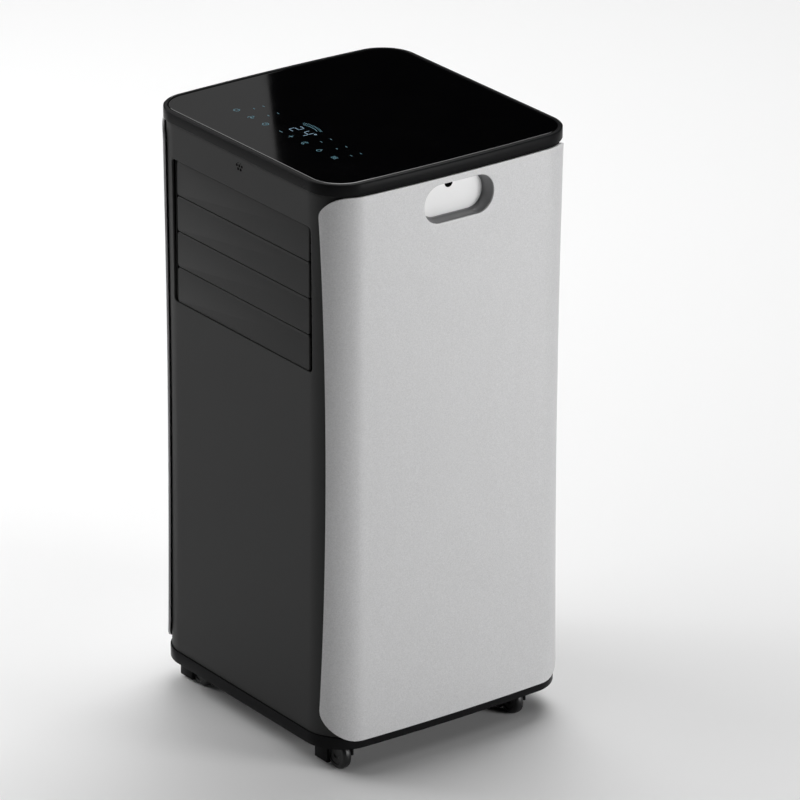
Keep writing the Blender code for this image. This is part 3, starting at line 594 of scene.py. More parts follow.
def panelRow(z, side, flatYs):
    inset = waistAt(z) - panel["proud"]
    a, b, r = halfWidth - inset, halfDepth - inset, casing["cornerRadius"] - inset
    reach = panelReach(z)
    steps = panel["columns"]
    if reach <= r:
        start = math.degrees(math.acos(1 - reach / r))
        front = list(arc(a - r, r - b, r, start - 90, 0, steps))
        squeeze = 1.0
    else:
        front = [(a, -b + reach + i * 0.3 * mm) for i in range(steps + 1)]
        squeeze = (b - reach - steps * 0.3 * mm) / (b - r)
    path = front + [(a, y * squeeze) for y in flatYs] + [(x, -y) for x, y in reversed(front)]
    return [Vector((side * crowned(x, y), y + bodyY, z)) for x, y in path]


def panelFace(side):
    def lift(y, z):
        a = halfWidth - waistAt(z) + panel["proud"]
        return Vector((side * crowned(a, y - bodyY), y, z))
    return lift


def buildSidePanel(name, side):
    tops = [panelHigh - panel["topRadius"] * (1 - math.cos(math.radians(a))) for a in range(90, -1, -9)]
    feet = [panelLow + panel["footRadius"] * (1 - math.cos(math.radians(a))) for a in range(0, 91, 9)]
    fine = handleZ - handle["height"] / 2 - handle["margin"] - 4 * mm
    middles = [feet[-1] + (fine - feet[-1]) * i / 34 for i in range(1, 34)]
    middles += [fine + (tops[0] - fine) * i / 12 for i in range(12)]
    levels = feet + middles + tops
    flat = halfDepth - casing["cornerRadius"]
    flatYs = [flat * (i / 28 - 1) for i in range(1, 56)]
    sheet = Sheet([panelRow(z, side, flatYs) for z in levels], lambda p: (p.y, p.z), panelFace(side))
    reachY, reachZ = handle["length"] / 2 + handle["margin"], handle["height"] / 2 + handle["margin"]
    sheet.punch((bodyY - reachY, handleZ - reachZ), (bodyY + reachY, panelHigh - 1.2 * mm),
                (bodyY, handleZ), handle["length"], handle["height"], handle["radius"])
    made = modified(sheet.build(f"{name}SidePanel"), *wallSteps(panel["thickness"], panel["edge"]))
    finished(made, "silver", "casing", (f"{name}_side_panel",))


cup = {"wall": 2 * mm, "draft": 3 * mm, "rise": 0.6 * mm, "fillet": 1.6 * mm, "flange": 4 * mm,
       "screwY": -3.2 * mm, "screwDrop": 7.4 * mm, "screwRadius": 5.4 * mm}


def buildHandleCup(name, side):
    low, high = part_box(f"{name}_handle_cup")
    mouth, back = (high.x, low.x) if side > 0 else (-low.x, -high.x)
    floorX = back + cup["wall"]

    def ring(x, grow, draft):
        # the ends of the well lean in more than its top and bottom
        width, height = (handle[key] + 2 * (grow - lean * draft) for key, lean in (
            ("length", cup["draft"]), ("height", cup["rise"])))
        shape = roundedRectangle(width, height, handle["radius"] + grow - cup["rise"] * draft, 12)
        return [Vector((side * x, bodyY + u, handleZ + v)) for u, v in shape]

    fillet = cup["fillet"]
    rounds = [(floorX + fillet * (1 - math.cos(a)), -fillet * (1 - math.sin(a)), 1)
              for a in (math.radians(15 * k) for k in range(7))]
    under = mouth - cup["wall"]
    profile = [*rounds, (mouth - 0.4 * mm, 0, 0), (mouth, 0.4 * mm, 0), (mouth, cup["flange"], 0),
               (under, cup["flange"], 0), (under, cup["wall"], 0), (back, cup["wall"], 1)]
    finished(loft(f"{name}HandleCup", [ring(*step) for step in profile]), "cup", "casing",
             (f"{name}_handle_cup",), sharp=40)
    # a white plate on the back wall paints it lighter than the grey side walls, as the light falls there:
    # painted light
    inset = cup["fillet"] + 0.5 * mm
    plate = loft(f"{name}CupPaintedLightPlate", [ring(x, -grow, 1) for x, grow in (
        (floorX - 0.2 * mm, inset), (floorX + 0.25 * mm, inset), (floorX + 0.4 * mm, inset + 0.15 * mm),
        (floorX + 0.4 * mm, inset + 0.8 * mm))])
    finished(plate, "litBackWall", "casing")
    # a black disc on the back wall: painted shade standing in for a screw hole
    y, z = bodyY + cup["screwY"], handleZ + handle["height"] / 2 - cup["screwDrop"]
    hole = turned(f"{name}CupScrewHoleShade", (side * (floorX + 0.3 * mm), y, z), "X",
                  [(-side * 0.6 * mm, cup["screwRadius"]), (side * 0.4 * mm, cup["screwRadius"])], 32)
    finished(hole, "void", "casing")


def middleOf(node):
    # x and z of a node's middle
    low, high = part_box(node)
    return (low.x + high.x) / 2, (low.z + high.z) / 2


rear = {
    "gap": 0.4 * mm,  # round each filter
    "holes": {  # each one's radius and the margin of cells round it
        "exhaust_collar": (72.4 * mm, 12 * mm), "upper_drain_plug": (9 * mm, 5 * mm),
        "lower_drain_plug": (9 * mm, 5 * mm), "cord_gland": (8.4 * mm, 5 * mm)},
}


def buildRearCover():
    low, high = (corner.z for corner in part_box("rear_cover"))
    windows = [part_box(f"{n}_filter") for n in ("upper", "lower")]
    gap = rear["gap"]
    holes = [(middleOf(node), radius, margin) for node, (radius, margin) in rear["holes"].items()]
    edges = [handleZ - cutZ, handleZ + cutZ]
    for windowLow, windowHigh in windows:
        edges += [windowLow.z - gap, windowHigh.z + gap]
    for centre, radius, margin in holes:
        edges += [centre[1] + (radius + margin) * k / 4 for k in range(-4, 5)]
    edges = sorted({round(z, 6) for z in edges})
    edges = [z for i, z in enumerate(edges) if i == 0 or z - edges[i - 1] > 0.3 * mm]
    levels = levelsBetween(low, high, *edges)
    windowX = windows[0][1].x + gap
    plugX = middleOf("upper_drain_plug")[0]
    columns = sorted({*spread(windowX, 22), *(plugX + d * 1.75 * mm for d in range(-8, 3))})
    columns = [x for i, x in enumerate(columns) if i == 0 or x - columns[i - 1] > 0.4 * mm]
    columns = [x for x in columns if x < flatEnd - 0.5 * mm]
    sheet = Sheet(coverRows(1, levels, columns), lambda p: (p.x, p.z), coverFace(1))
    cutForHandles(sheet, lambda y: y < bodyY + cutY)
    for windowLow, windowHigh in windows:
        sheet.leaveOut((-windowX, windowLow.z - gap), (windowX, windowHigh.z + gap))
    for centre, radius, margin in holes:
        grown = radius + margin
        sheet.punch((centre[0] - grown, centre[1] - grown), (centre[0] + grown, centre[1] + grown),
                    centre, 2 * radius, 2 * radius, radius)
    cover = modified(sheet.build("rearCover"), *wallSteps(casing["wall"], casing["edge"]))
    finished(cover, "charcoal", "casing", ("rear_cover",))


cap = {
    "rim": 5 * mm, "groove": 1.2 * mm, "chamfer": 1.2 * mm, "foot": 0.5 * mm, "inside": 4.4 * mm,
    "ceiling": 5.8 * mm,  # from its lower edge to its underside
    "underGlass": 0.4 * mm,
}


def buildCap():
    low, high = capLow.z, capHigh.z
    ceiling = low + cap["ceiling"]
    seat = glassLow.z - cap["underGlass"]
    foot, chamfer = cap["foot"], cap["chamfer"]
    profile = [(ceiling, cap["inside"]), (low, cap["inside"]), (low, foot)]
    profile += [(low + foot * (1 - math.cos(a)), foot * (1 - math.sin(a))) for a in (0.5, 1.0, 1.5708)]
    profile += [(high - chamfer * drop, chamfer * inset)
                for drop, inset in ((1.1, 0), (0.9, 0.06), (0.12, 0.84), (0, 1.1))]
    profile += [(high, cap["rim"] - 0.3 * mm), (high - 0.3 * mm, cap["rim"]), (seat, cap["rim"])]
    made = loft("topCover", [outline(z, i, casing["capRadius"]) for z, i in profile])
    finished(made, "gloss", "casing", ("top_cover",))
    edge = cap["rim"] + cap["groove"]
    glass = [(glassLow.z, edge), (glassHigh.z - 0.4 * mm, edge), (glassHigh.z - 0.12 * mm, edge + 0.12 * mm),
             (glassHigh.z, edge + 0.4 * mm), (glassHigh.z, edge + 1.6 * mm)]
    plate = loft("controlGlass", [outline(z, i, casing["capRadius"]) for z, i in glass])
    finished(plate, "glass", "casing", ("control_glass",))


display = {"line": 0.6 * mm, "lift": 0.04 * mm, "thick": 0.06 * mm, "digit": (8.5 * mm, 15 * mm)}


def ringPoints(x, y, radius, start=0, end=360, steps=20):
    return list(arc(x, y, radius, start, end, steps))


def glyphs():
    # the strokes lit brightly and the ones lit dimly; every mark is generic
    bright, dim = [], []

    def segments(x, y, lit):
        w, h = display["digit"]
        corners = {"a": ((-1, 1), (1, 1)), "b": ((1, 1), (1, 0)), "c": ((1, 0), (1, -1)),
                   "d": ((1, -1), (-1, -1)), "e": ((-1, -1), (-1, 0)), "f": ((-1, 0), (-1, 1)),
                   "g": ((-1, 0), (1, 0))}
        for letter in lit:
            (x0, y0), (x1, y1) = corners[letter]
            ends = [(x + u * w / 2, y + v * h / 2) for u, v in ((x0, y0), (x1, y1))]
            trim = 0.07
            bright.append([tuple(p + (q - p) * t for p, q in zip(*ends)) for t in (trim, 1 - trim)])

    segments(-5 * mm, -85 * mm, "abged")
    segments(13 * mm, -85 * mm, "fgbc")
    bright.append(ringPoints(22 * mm, -79 * mm, 1.2 * mm))
    # a fan of short strokes over the digits, and the arc under them
    fanX, fanY = 1.5 * mm, -112 * mm
    for k in range(13):
        angle = math.radians(90 + (k - 6) * 3.4)
        dim.append([(fanX + r * math.cos(angle), fanY + r * math.sin(angle)) for r in (45 * mm, 48 * mm)])
    dim.append(ringPoints(fanX, fanY, 42.5 * mm, 72, 108, 16))
    row = -104 * mm
    # power, fan, clock, less, more, night, drop, airflow
    x = -92 * mm
    dim.append(ringPoints(x, row, 3.4 * mm, 120, 420))
    dim.append([(x, row + 1 * mm), (x, row + 4.4 * mm)])
    x = -64 * mm
    for k in range(3):
        turn = 120 * k
        blade = 2.0 * mm
        cx, cy = x + blade * math.cos(math.radians(turn)), row + blade * math.sin(math.radians(turn))
        dim.append(ringPoints(cx, cy, blade, turn - 180, turn + 30, 12))
    x = -37 * mm
    dim.append(ringPoints(x, row, 3.6 * mm))
    dim.append([(x, row + 2.2 * mm), (x, row), (x + 1.8 * mm, row)])
    dim.append([(-11 * mm, row), (-5 * mm, row)])
    dim.append([(8 * mm, row), (14 * mm, row)])
    dim.append([(11 * mm, row - 3 * mm), (11 * mm, row + 3 * mm)])
    x = 37 * mm
    dim.append(ringPoints(x, row, 3.6 * mm, 60, 300) + ringPoints(x + 2.3 * mm, row, 3.1 * mm, 270, 90, 12))
    x = 64 * mm
    tip = (x, row + 4 * mm)
    dim.append([tip] + ringPoints(x, row - 0.8 * mm, 2.6 * mm, 30, -210, 14) + [tip])
    x = 92 * mm
    for k in (-1, 0, 1):
        y = row + 2.2 * mm * k
        dim.append([(x - 4 * mm + 0.5 * mm * i, y + 0.6 * mm * math.sin(i * 0.8)) for i in range(17)])
    for x, y in ((-84.5, -86), (-57, -86), (-57, -73), (-84.5, -73), (44, -87), (44, -74), (71.5, -86),
                 (72.5, -74), (98, -86), (98.5, -73.5)):
        dim.append([((x - 1.8) * mm, y * mm), ((x + 1.8) * mm, y * mm)])
    return bright, dim


def buildDisplay():
    # lays each stroke on the glass as a thin flat bar
    bottom = glassHigh.z + display["lift"]
    for name, finish, strokes in zip(("displayDigits", "displayIcons"), ("digits", "icons"), glyphs()):
        points, faces = [], []
        for path in strokes:
            closedPath = len(path) > 3 and math.dist(path[0], path[-1]) < 1e-6
            for i, (x, y) in enumerate(path):
                before = path[i - 1] if i else (path[-2] if closedPath else path[0])
                after = path[i + 1] if i + 1 < len(path) else (path[1] if closedPath else path[-1])
                along = Vector([b - a for a, b in zip(before, after)]).normalized() * display["line"] / 2
                start = len(points)
                for side in (1, -1):
                    for z in (bottom, bottom + display["thick"]):
                        points.append((x - side * along.y, y + side * along.x + bodyY, z))
                if i:
                    a, b = start - 4, start
                    faces += [[a, b, b + 1, a + 1], [a + 2, a + 3, b + 3, b + 2],
                              [a, a + 2, b + 2, b], [a + 1, b + 1, b + 3, a + 3]]
                if i in (0, len(path) - 1) and not closedPath:
                    faces.append([start, start + 1, start + 3, start + 2])
        finished(meshFrom(name, points, faces), finish, "casing")


skirt = {"height": 14.6 * mm, "band": 3.2 * mm, "rise": 3 * mm, "floor": 3 * mm, "wellWall": 2.3 * mm,
         "wellGap": 1.6 * mm, "stemHole": 6 * mm, "stem": 9 * mm}
caster = {
    "trail": 13 * mm, "radius": 18 * mm, "width": 10 * mm, "wall": 3.6 * mm, "edge": 1.2 * mm,
    "axle": 2.5 * mm, "axleStart": 2.6 * mm,  # how far inside the wheel's face the axle starts
    "eye": 8.5 * mm, "stem": 5 * mm, "nose": 22 * mm,
    "side": 0.6 * mm, "room": 0.8 * mm, "roofGap": 1 * mm,  # between the wheel and its hood
    "roof": 1 * mm,
}
casterNames = ("front_left", "front_right", "rear_left", "rear_right")


def casterSpot(name):
    # where the stem stands
    low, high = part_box(f"{name}_caster_hood")
    return Vector((middleOf(f"{name}_caster_wheel")[0] - caster["trail"], (low.y + high.y) / 2, 0))


def buildTray():
    bottom, top, lip = skirtZ, skirtZ + skirt["height"], trayHigh.z
    floorLow = bottom + skirt["rise"]
    floorHigh = floorLow + skirt["floor"]
    inner = cap["inside"] + 2.2 * mm
    profile = [(floorLow, skirt["band"]), (bottom, skirt["band"]), (bottom, 1.2 * mm),
               (bottom + 0.35 * mm, 0.35 * mm), (bottom + 1.2 * mm, 0),
               (top - 0.5 * mm, 0), (top - 0.15 * mm, 0.15 * mm), (top, 0.5 * mm),
               (top, cap["inside"]), (lip, cap["inside"]), (lip, inner), (floorHigh, inner)]
    tray = loft("baseTray", [outline(z, i, casing["cornerRadius"]) for z, i in profile])
    hoodLow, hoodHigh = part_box("front_left_caster_hood")
    well = (hoodHigh.y - hoodLow.y) / 2 + skirt["wellGap"]
    roof = bottom + skirt["stem"]
    wall, hole = skirt["wellWall"], skirt["stemHole"]
    section = [(floorHigh, well + wall), (roof + wall, well + wall), (roof + wall, hole), (roof, hole),
               (roof, well), (floorLow, well), (floorLow, well + wall * 0.5), (floorHigh, well + wall * 0.5)]
    cutters, cups = [], []
    for name in casterNames:
        spot = casterSpot(name)
        cutters.append(turned("wellCutter", spot, "Z", [(bottom - 5 * mm, well), (floorHigh + 5 * mm, well)]))
        cups.append(turned("wellCup", spot, "Z", section, capped=False))
    tray = without(tray, *cutters)
    finished(together("baseTray", tray, *cups), "gloss", "casing", ("base_tray",))


buildFrontCover()
buildRearCover()
buildSensorHoleShade()
for panelName, panelSide in (("left", -1), ("right", 1)):
    buildSidePanel(panelName, panelSide)
    buildHandleCup(panelName, panelSide)
buildCap()
buildDisplay()
buildTray()
print("casing done")


louver = {
    "length": 251.8 * mm, "thickness": 2.2 * mm, "corner": 3.5 * mm, "web": 2.4 * mm,
    "setback": 8 * mm,  # the axis behind the face
    "boss": 3.4 * mm, "pin": 2.4 * mm, "throw": 12 * mm, "crank": 2 * mm, "crankWidth": 8.4 * mm,
    # how the slat's section is drawn in and its upper edge lowered, by depth behind the face
    "section": ((0, -1.3, 0.7), (0.08, -0.95, 0.6), (0.3, -0.55, 0.4), (0.7, -0.22, 0.2),
                (1.3, 0, 0), (1.9, 0, 0), (2.2, -0.3, 0)),
}


def buildLouver(number):
    node = f"louver_{number}"
    low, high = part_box(node)
    z, face = (low.z + high.z) / 2, low.y
    pivot = Vector((0, face + louver["setback"], z))
    height = high.z - low.z
    edge = 0.5 * mm

    def plate(y, grow, top):
        shape = roundedRectangle(louver["length"] + 2 * grow, height + 2 * grow, louver["corner"] + grow, 6)
        return [Vector((x, y, z + v - (top if v > 0 else 0))) for x, v in shape]

    # the upper edge rolls back further than the lower one
    slat = loft("slat", [plate(face + d * mm, g * mm, t * mm) for d, g, t in louver["section"]])
    half = louver["length"] / 2 - 3 * mm
    web = roundedBox("web", (-half, face + louver["thickness"] - edge, z - louver["web"] / 2),
                     (half, pivot.y, z + louver["web"] / 2), 0.3 * mm)
    boss = turned("boss", pivot, "X", [(-half, louver["boss"]), (half, louver["boss"])], 32)
    pin = turned("pin", pivot, "X", [(low.x + 4.4 * mm, louver["pin"]), (high.x, louver["pin"])], 24)
    crankX = low.x + 3.4 * mm
    shape = roundedRectangle(louver["throw"] + louver["crankWidth"], louver["crankWidth"], 4.1 * mm, 6)
    crank = loft("crank", [[Vector((x, pivot.y + u + louver["throw"] / 2, z + v)) for u, v in shape]
                           for x in (crankX, crankX + louver["crank"])])
    knobEnd = pivot + Vector((0, louver["throw"], 0))
    knob = turned("knob", knobEnd, "X", [
        (low.x, 1.7 * mm), (low.x + 0.3 * mm, 2 * mm), (crankX + 1 * mm, 2 * mm)], 24)
    made = together(f"louver{number}", slat, web, boss, pin, crank, knob)
    finished(made, "louver", node, (node,), sharp=40)


for louverNumber in range(1, 5):
    buildLouver(louverNumber)
print("louvers done")


def buildCaster(name):
    node = f"{name}_caster"
    hoodLow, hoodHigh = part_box(f"{node}_hood")
    spot = casterSpot(name)
    radius, tread = caster["radius"], caster["width"] / 2
    axle = spot + Vector((caster["trail"], 0, radius))
    half, slot = tread + caster["wall"], tread + caster["side"]
    outer = (hoodHigh.y - hoodLow.y) / 2
    x, y = spot.x, spot.y
    roof = 2 * radius + caster["roofGap"]
    top = roof + caster["roof"]
    block = roundedBox("block", (hoodLow.x + outer - caster["nose"], y - half, hoodLow.z),
                       (x + 2 * mm, y + half, top), caster["edge"])
    plate = turned("plate", spot, "Z", [(roof, outer - 0.8 * mm), (roof + 0.4 * mm, outer),
                                        (roof + 1.8 * mm, outer), (roof + 2.2 * mm, outer - 0.4 * mm)])
    stem = turned("stem", spot, "Z", [(top, caster["stem"]), (hoodHigh.z - 0.8 * mm, caster["stem"]),
                                      (hoodHigh.z, caster["stem"] - 0.8 * mm)], 32)
    inboard = x - 4 * mm
    arm = roundedBox("arm", (inboard, y + slot, axle.z + 1 * mm),
                     (hoodHigh.x, y + half, skirtZ - 1 * mm), 0.9 * mm)
    eye = turned("eye", axle, "Y", [(slot, caster["eye"]), (half - 0.8 * mm, caster["eye"]),
                                    (half, caster["eye"] - 0.8 * mm)], 48)
    neck = roundedBox("neck", (inboard, y + slot, skirtZ - 3 * mm),
                      (x + outer - 4 * mm, y + half, top), 0.5 * mm)
    additions = (plate, stem, arm, eye, neck)
    modified(block, *(("BOOLEAN", {"operation": "UNION", "object": part}) for part in additions))
    for part in additions:
        bpy.data.objects.remove(part)
    room = turned("room", axle, "Y", [(side * slot, radius + caster["room"]) for side in (-1, 1)])
    hood = without(block, room)
    hood.name = pieceName(f"{node}_hood")
    finished(hood, "gloss", f"{name}_swivel", (f"{node}_hood",), sharp=28)
    # from the dished hub out over the rim to the tread, then down the plain inner side
    profile = [(-tread + a * mm, r) for a, r in (
        (2.2, 3.4 * mm), (2.2, 4.6 * mm), (0.8, 6.2 * mm), (0.8, radius * 0.66), (-0.1, radius * 0.70),
        (-0.2, radius * 0.74), (-0.2, radius - 3.0 * mm), (0.1, radius - 2.2 * mm), (0.9, radius - 1.0 * mm),
        (1.9, radius - 0.3 * mm), (3, radius))]
    profile += [(tread - 2.2 * mm, radius), (tread - 0.9 * mm, radius - 0.6 * mm), (tread, radius - 1.8 * mm),
                (tread, 3.4 * mm)]
    wheel = turned(pieceName(f"{node}_wheel"), axle, "Y", profile, 72)
    finished(wheel, "nylon", f"{name}_wheel", (f"{node}_wheel",))
    start, bevel = -tread + caster["axleStart"], 0.5 * mm
    pin = turned(pieceName(f"{node}_axle"), axle, "Y", [
        (start, caster["axle"] - bevel), (start + bevel, caster["axle"]),
        (half - 0.1 * mm - bevel, caster["axle"]), (half - 0.1 * mm, caster["axle"] - bevel)], 32)
    finished(pin, "steel", f"{name}_swivel", (f"{node}_axle",))


for casterName in casterNames:
    buildCaster(casterName)
print("casters done")


grille = {"frame": 6 * mm, "bar": 1.56 * mm, "pitch": 9.2 * mm, "tilt": 0.45,  # in radians
          "mesh": 2.1 * mm, "wire": 0.45 * mm}


def buildFilter(name):
    low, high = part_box(f"{name}_filter")
    depth, z = high.y - low.y, (low.z + high.z) / 2
    width, height = high.x - low.x, high.z - low.z
    inner = (width - 2 * grille["frame"], height - 2 * grille["frame"])
    rims = ((width, height, 1.5 * mm), (*inner, 1.0 * mm))  # the surround's outer and inner rims
    edge = 0.5 * mm
    rings = []
    for y, rim, inset in ((high.y, 0, edge), (high.y, 1, -edge), (high.y - edge, 1, 0), (low.y, 1, 0),
                          (low.y, 0, 0), (high.y - edge, 0, 0), (high.y, 0, edge)):
        w, h, corner = rims[rim]
        shape = roundedRectangle(w - 2 * inset, h - 2 * inset, corner, 4)
        rings.append([Vector((x, y, z + v)) for x, v in shape])
    surround = loft("surround", rings, capped=False)
    bars = max(int(inner[1] / grille["pitch"]), 1)

    def build(tree, size):
        bar = tree.add("GeometryNodeMeshCube", {}, {"Size": size["Bar"]})
        leaned = tree.add("GeometryNodeTransform", {}, {"Geometry": bar, "Rotation": size["Tilt"]})
        spots = tree.add("GeometryNodeMeshLine", {}, {"Count": size["Bars"], "Start Location": size["First"],
                                                      "Offset": size["Step"]})
        rows = tree.add("GeometryNodeInstanceOnPoints", {}, {"Points": spots, "Instance": leaned})
        post = tree.add("GeometryNodeMeshCube", {}, {"Size": size["Post"]})
        posts = tree.add("GeometryNodeMeshLine", {}, {"Count": 3, "Start Location": size["Post first"],
                                                      "Offset": size["Post step"]})
        uprights = tree.add("GeometryNodeInstanceOnPoints", {}, {"Points": posts, "Instance": post})
        return tree.joined(rows, uprights)

    step = inner[1] / bars
    y = (low.y + high.y) / 2 + 0.4 * mm
    sizes = {
        "Bar": (inner[0] + 1 * mm, depth * 0.62, grille["bar"]), "Tilt": (grille["tilt"], 0.0, 0.0),
        "Bars": bars - 1, "First": (0.0, y, low.z + grille["frame"] + step), "Step": (0.0, 0.0, step),
        "Post": (3 * mm, depth * 0.5, inner[1] + 1 * mm), "Post first": (-inner[0] / 4, y - 0.6 * mm, z),
        "Post step": (inner[0] / 4, 0.0, 0.0)}
    slats = geometryPiece("slats", sizes, build, finishes["charcoal"])
    slats = modified(slats, ("BEVEL", {"width": 0.35 * mm, "segments": 2, "limit_method": "ANGLE"}))
    made = together(f"{name}FilterGrille", surround, slats)
    finished(made, "charcoal", f"{name}_filter", (f"{name}_filter",))

    def weave(tree, size):
        parts = []
        for way in ("Across", "Up"):
            wire = tree.add("GeometryNodeMeshCube", {}, {"Size": size[f"{way} wire"]})
            spots = tree.add("GeometryNodeMeshLine", {}, {
                "Count": size[f"{way} count"], "Start Location": size["Corner"],
                "Offset": size[f"{way} step"]})
            wires = tree.add("GeometryNodeInstanceOnPoints", {}, {"Points": spots, "Instance": wire})
            parts.append(tree.add("GeometryNodeTransform", {}, {
                "Geometry": wires, "Translation": size[f"{way} shift"]}))
        return tree.joined(*parts)

    pitch, wire = grille["mesh"], grille["wire"]
    sizes = {
        "Across wire": (inner[0], wire, wire), "Up wire": (wire, wire, inner[1]),
        "Across count": int(inner[1] / pitch), "Up count": int(inner[0] / pitch),
        "Across step": (0.0, 0.0, pitch), "Up step": (pitch, 0.0, 0.0),
        "Corner": (-inner[0] / 2 + pitch / 2, low.y + 0.5 * mm, low.z + grille["frame"] + pitch / 2),
        "Across shift": (inner[0] / 2 - pitch / 2, 0.0, 0.0),
        "Up shift": (0.0, wire, inner[1] / 2 - pitch / 2)}
    mesh = geometryPiece(f"{name}FilterMesh", sizes, weave, finishes["screen"])
    finished(mesh, "screen", f"{name}_filter")


guard = {"rings": 5, "spokes": 8, "wire": 1.3 * mm, "hub": 8 * mm}


def buildCollar():
    low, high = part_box("exhaust_collar")
    centre = Vector((0, 0, (low.z + high.z) / 2))
    flange = (high.x - low.x) / 2
    tube, bore, neck = flange - 9 * mm, flange - 11.6 * mm, flange - 6 * mm
    seat = low.y + 18.4 * mm
    profile = [(low.y, bore), (low.y, tube), (seat, tube), (seat, flange - 0.4 * mm),
               (seat + 0.4 * mm, flange), (seat + 2.0 * mm, flange), (seat + 2.4 * mm, flange - 0.5 * mm),
               (seat + 2.4 * mm, neck + 1 * mm), (seat + 2.8 * mm, neck + 0.3 * mm), (seat + 3.6 * mm, neck),
               (high.y - 0.8 * mm, neck),
               (high.y - 0.2 * mm, neck - 0.3 * mm), (high.y, neck - 1 * mm), (high.y, bore + 0.8 * mm),
               (high.y - 0.3 * mm, bore + 0.2 * mm), (high.y - 1 * mm, bore)]
    collar = turned("collar", centre, "Y", [*profile, profile[0]], 128, capped=False)
    lugs = []
    for k in range(3):
        # a low lug for the hose's bayonet, turned to its place round the neck
        angle = math.radians(90 + 120 * k)
        lug = roundedBox("lug", (-9 * mm, seat + 6.5 * mm, neck - 1 * mm),
                         (9 * mm, seat + 9.5 * mm, neck + 3 * mm), 0.8 * mm)
        for vertex in lug.data.vertices:
            x, z = vertex.co.x, vertex.co.z
            vertex.co.x = x * math.cos(angle) + z * math.sin(angle)
            vertex.co.z = centre.z - x * math.sin(angle) + z * math.cos(angle)
        lugs.append(lug)

    def build(tree, size):
        section = tree.add("GeometryNodeCurvePrimitiveCircle", {}, {"Resolution": 10, "Radius": size["Wire"]})
        parts = []
        for k in range(1, guard["rings"] + 1):
            loop = tree.add("GeometryNodeCurvePrimitiveCircle", {}, {
                "Resolution": 96, "Radius": size["Pitch"] * k})
            parts.append(tree.add("GeometryNodeCurveToMesh", {}, {"Curve": loop, "Profile Curve": section}))
        spoke = tree.add("GeometryNodeCurvePrimitiveLine", {}, {
            "Start": size["Spoke start"], "End": size["Spoke end"]})
        bar = tree.add("GeometryNodeCurveToMesh", {}, {
            "Curve": spoke, "Profile Curve": section, "Fill Caps": True})
        spots = tree.add("GeometryNodeMeshLine", {}, {"Count": size["Spokes"], "Offset": (0.0, 0.0, 0.0)})
        turn = tree.add("GeometryNodeInputIndex", {}) * (2 * math.pi / guard["spokes"])
        spin = tree.add("ShaderNodeCombineXYZ", {}, {"Z": turn})
        parts.append(tree.add("GeometryNodeInstanceOnPoints", {}, {
            "Points": spots, "Instance": bar, "Rotation": spin}))
        parts.append(tree.add("GeometryNodeMeshCylinder", {}, {
            "Vertices": 48, "Radius": size["Hub"], "Depth": size["Wire"] * 2.4}))
        return tree.add("GeometryNodeTransform", {}, {
            "Geometry": tree.joined(*parts), "Rotation": (math.pi / 2, 0, 0), "Translation": size["Place"]})

    sizes = {"Wire": guard["wire"] / 2, "Pitch": bore / (guard["rings"] + 1), "Spokes": guard["spokes"],
             "Hub": guard["hub"], "Spoke start": (0.0, 0.0, 0.0), "Spoke end": (bore + 1 * mm, 0.0, 0.0),
             "Place": (0.0, low.y + 3 * mm, centre.z)}
    wires = geometryPiece("guard", sizes, build, finishes["charcoal"])
    made = together("exhaustCollar", collar, *lugs, wires)
    finished(made, "charcoal", "casing", ("exhaust_collar",))


def buildPlug(node):
    low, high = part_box(node)
    x, z = middleOf(node)
    centre = Vector((x, 0, z))
    r = (high.x - low.x) / 2
    seat = low.y + 8.4 * mm
    body = turned("plug", centre, "Y", [
        (low.y, r - 4.5 * mm), (low.y + 1 * mm, r - 3.6 * mm), (seat, r - 3.4 * mm), (seat, r - 0.4 * mm),
        (seat + 0.4 * mm, r), (seat + 1.9 * mm, r), (seat + 2.5 * mm, r - 0.6 * mm),
        (seat + 2.5 * mm, r - 6.6 * mm)], 64)
    grip = roundedBox("grip", (centre.x - 6.4 * mm, seat + 2 * mm, centre.z - 1.8 * mm),
                      (centre.x + 6.4 * mm, high.y, centre.z + 1.8 * mm), 0.7 * mm)
    finished(together(pieceName(node), body, grip), "rubber", node, (node,))


def buildGland():
    low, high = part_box("cord_gland")
    x, z = middleOf("cord_gland")
    r, bore = (high.x - low.x) / 2, 3.6 * mm
    seat = low.y + 10.4 * mm
    profile = [(low.y, bore), (low.y, r - 3.5 * mm), (seat, r - 3.5 * mm), (seat, r - 0.3 * mm),
               (seat + 0.3 * mm, r), (seat + 2 * mm, r - 0.4 * mm), (seat + 3 * mm, r - 1.6 * mm),
               (high.y - 1 * mm, r - 4.2 * mm), (high.y, r - 5.4 * mm), (high.y, bore + 0.5 * mm),
               (high.y - 0.6 * mm, bore), (low.y, bore)]
    gland = turned("cordGland", (x, 0, z), "Y", profile, 72, capped=False)
    finished(gland, "rubber", "casing", ("cord_gland",))


screws = {"head": 3.6 * mm, "rise": 1.1 * mm, "slot": (4.2 * mm, 0.7 * mm, 1.2 * mm), "out": 126 * mm,
          "heights": (0.66, 0.445, 0.24, 0.10)}


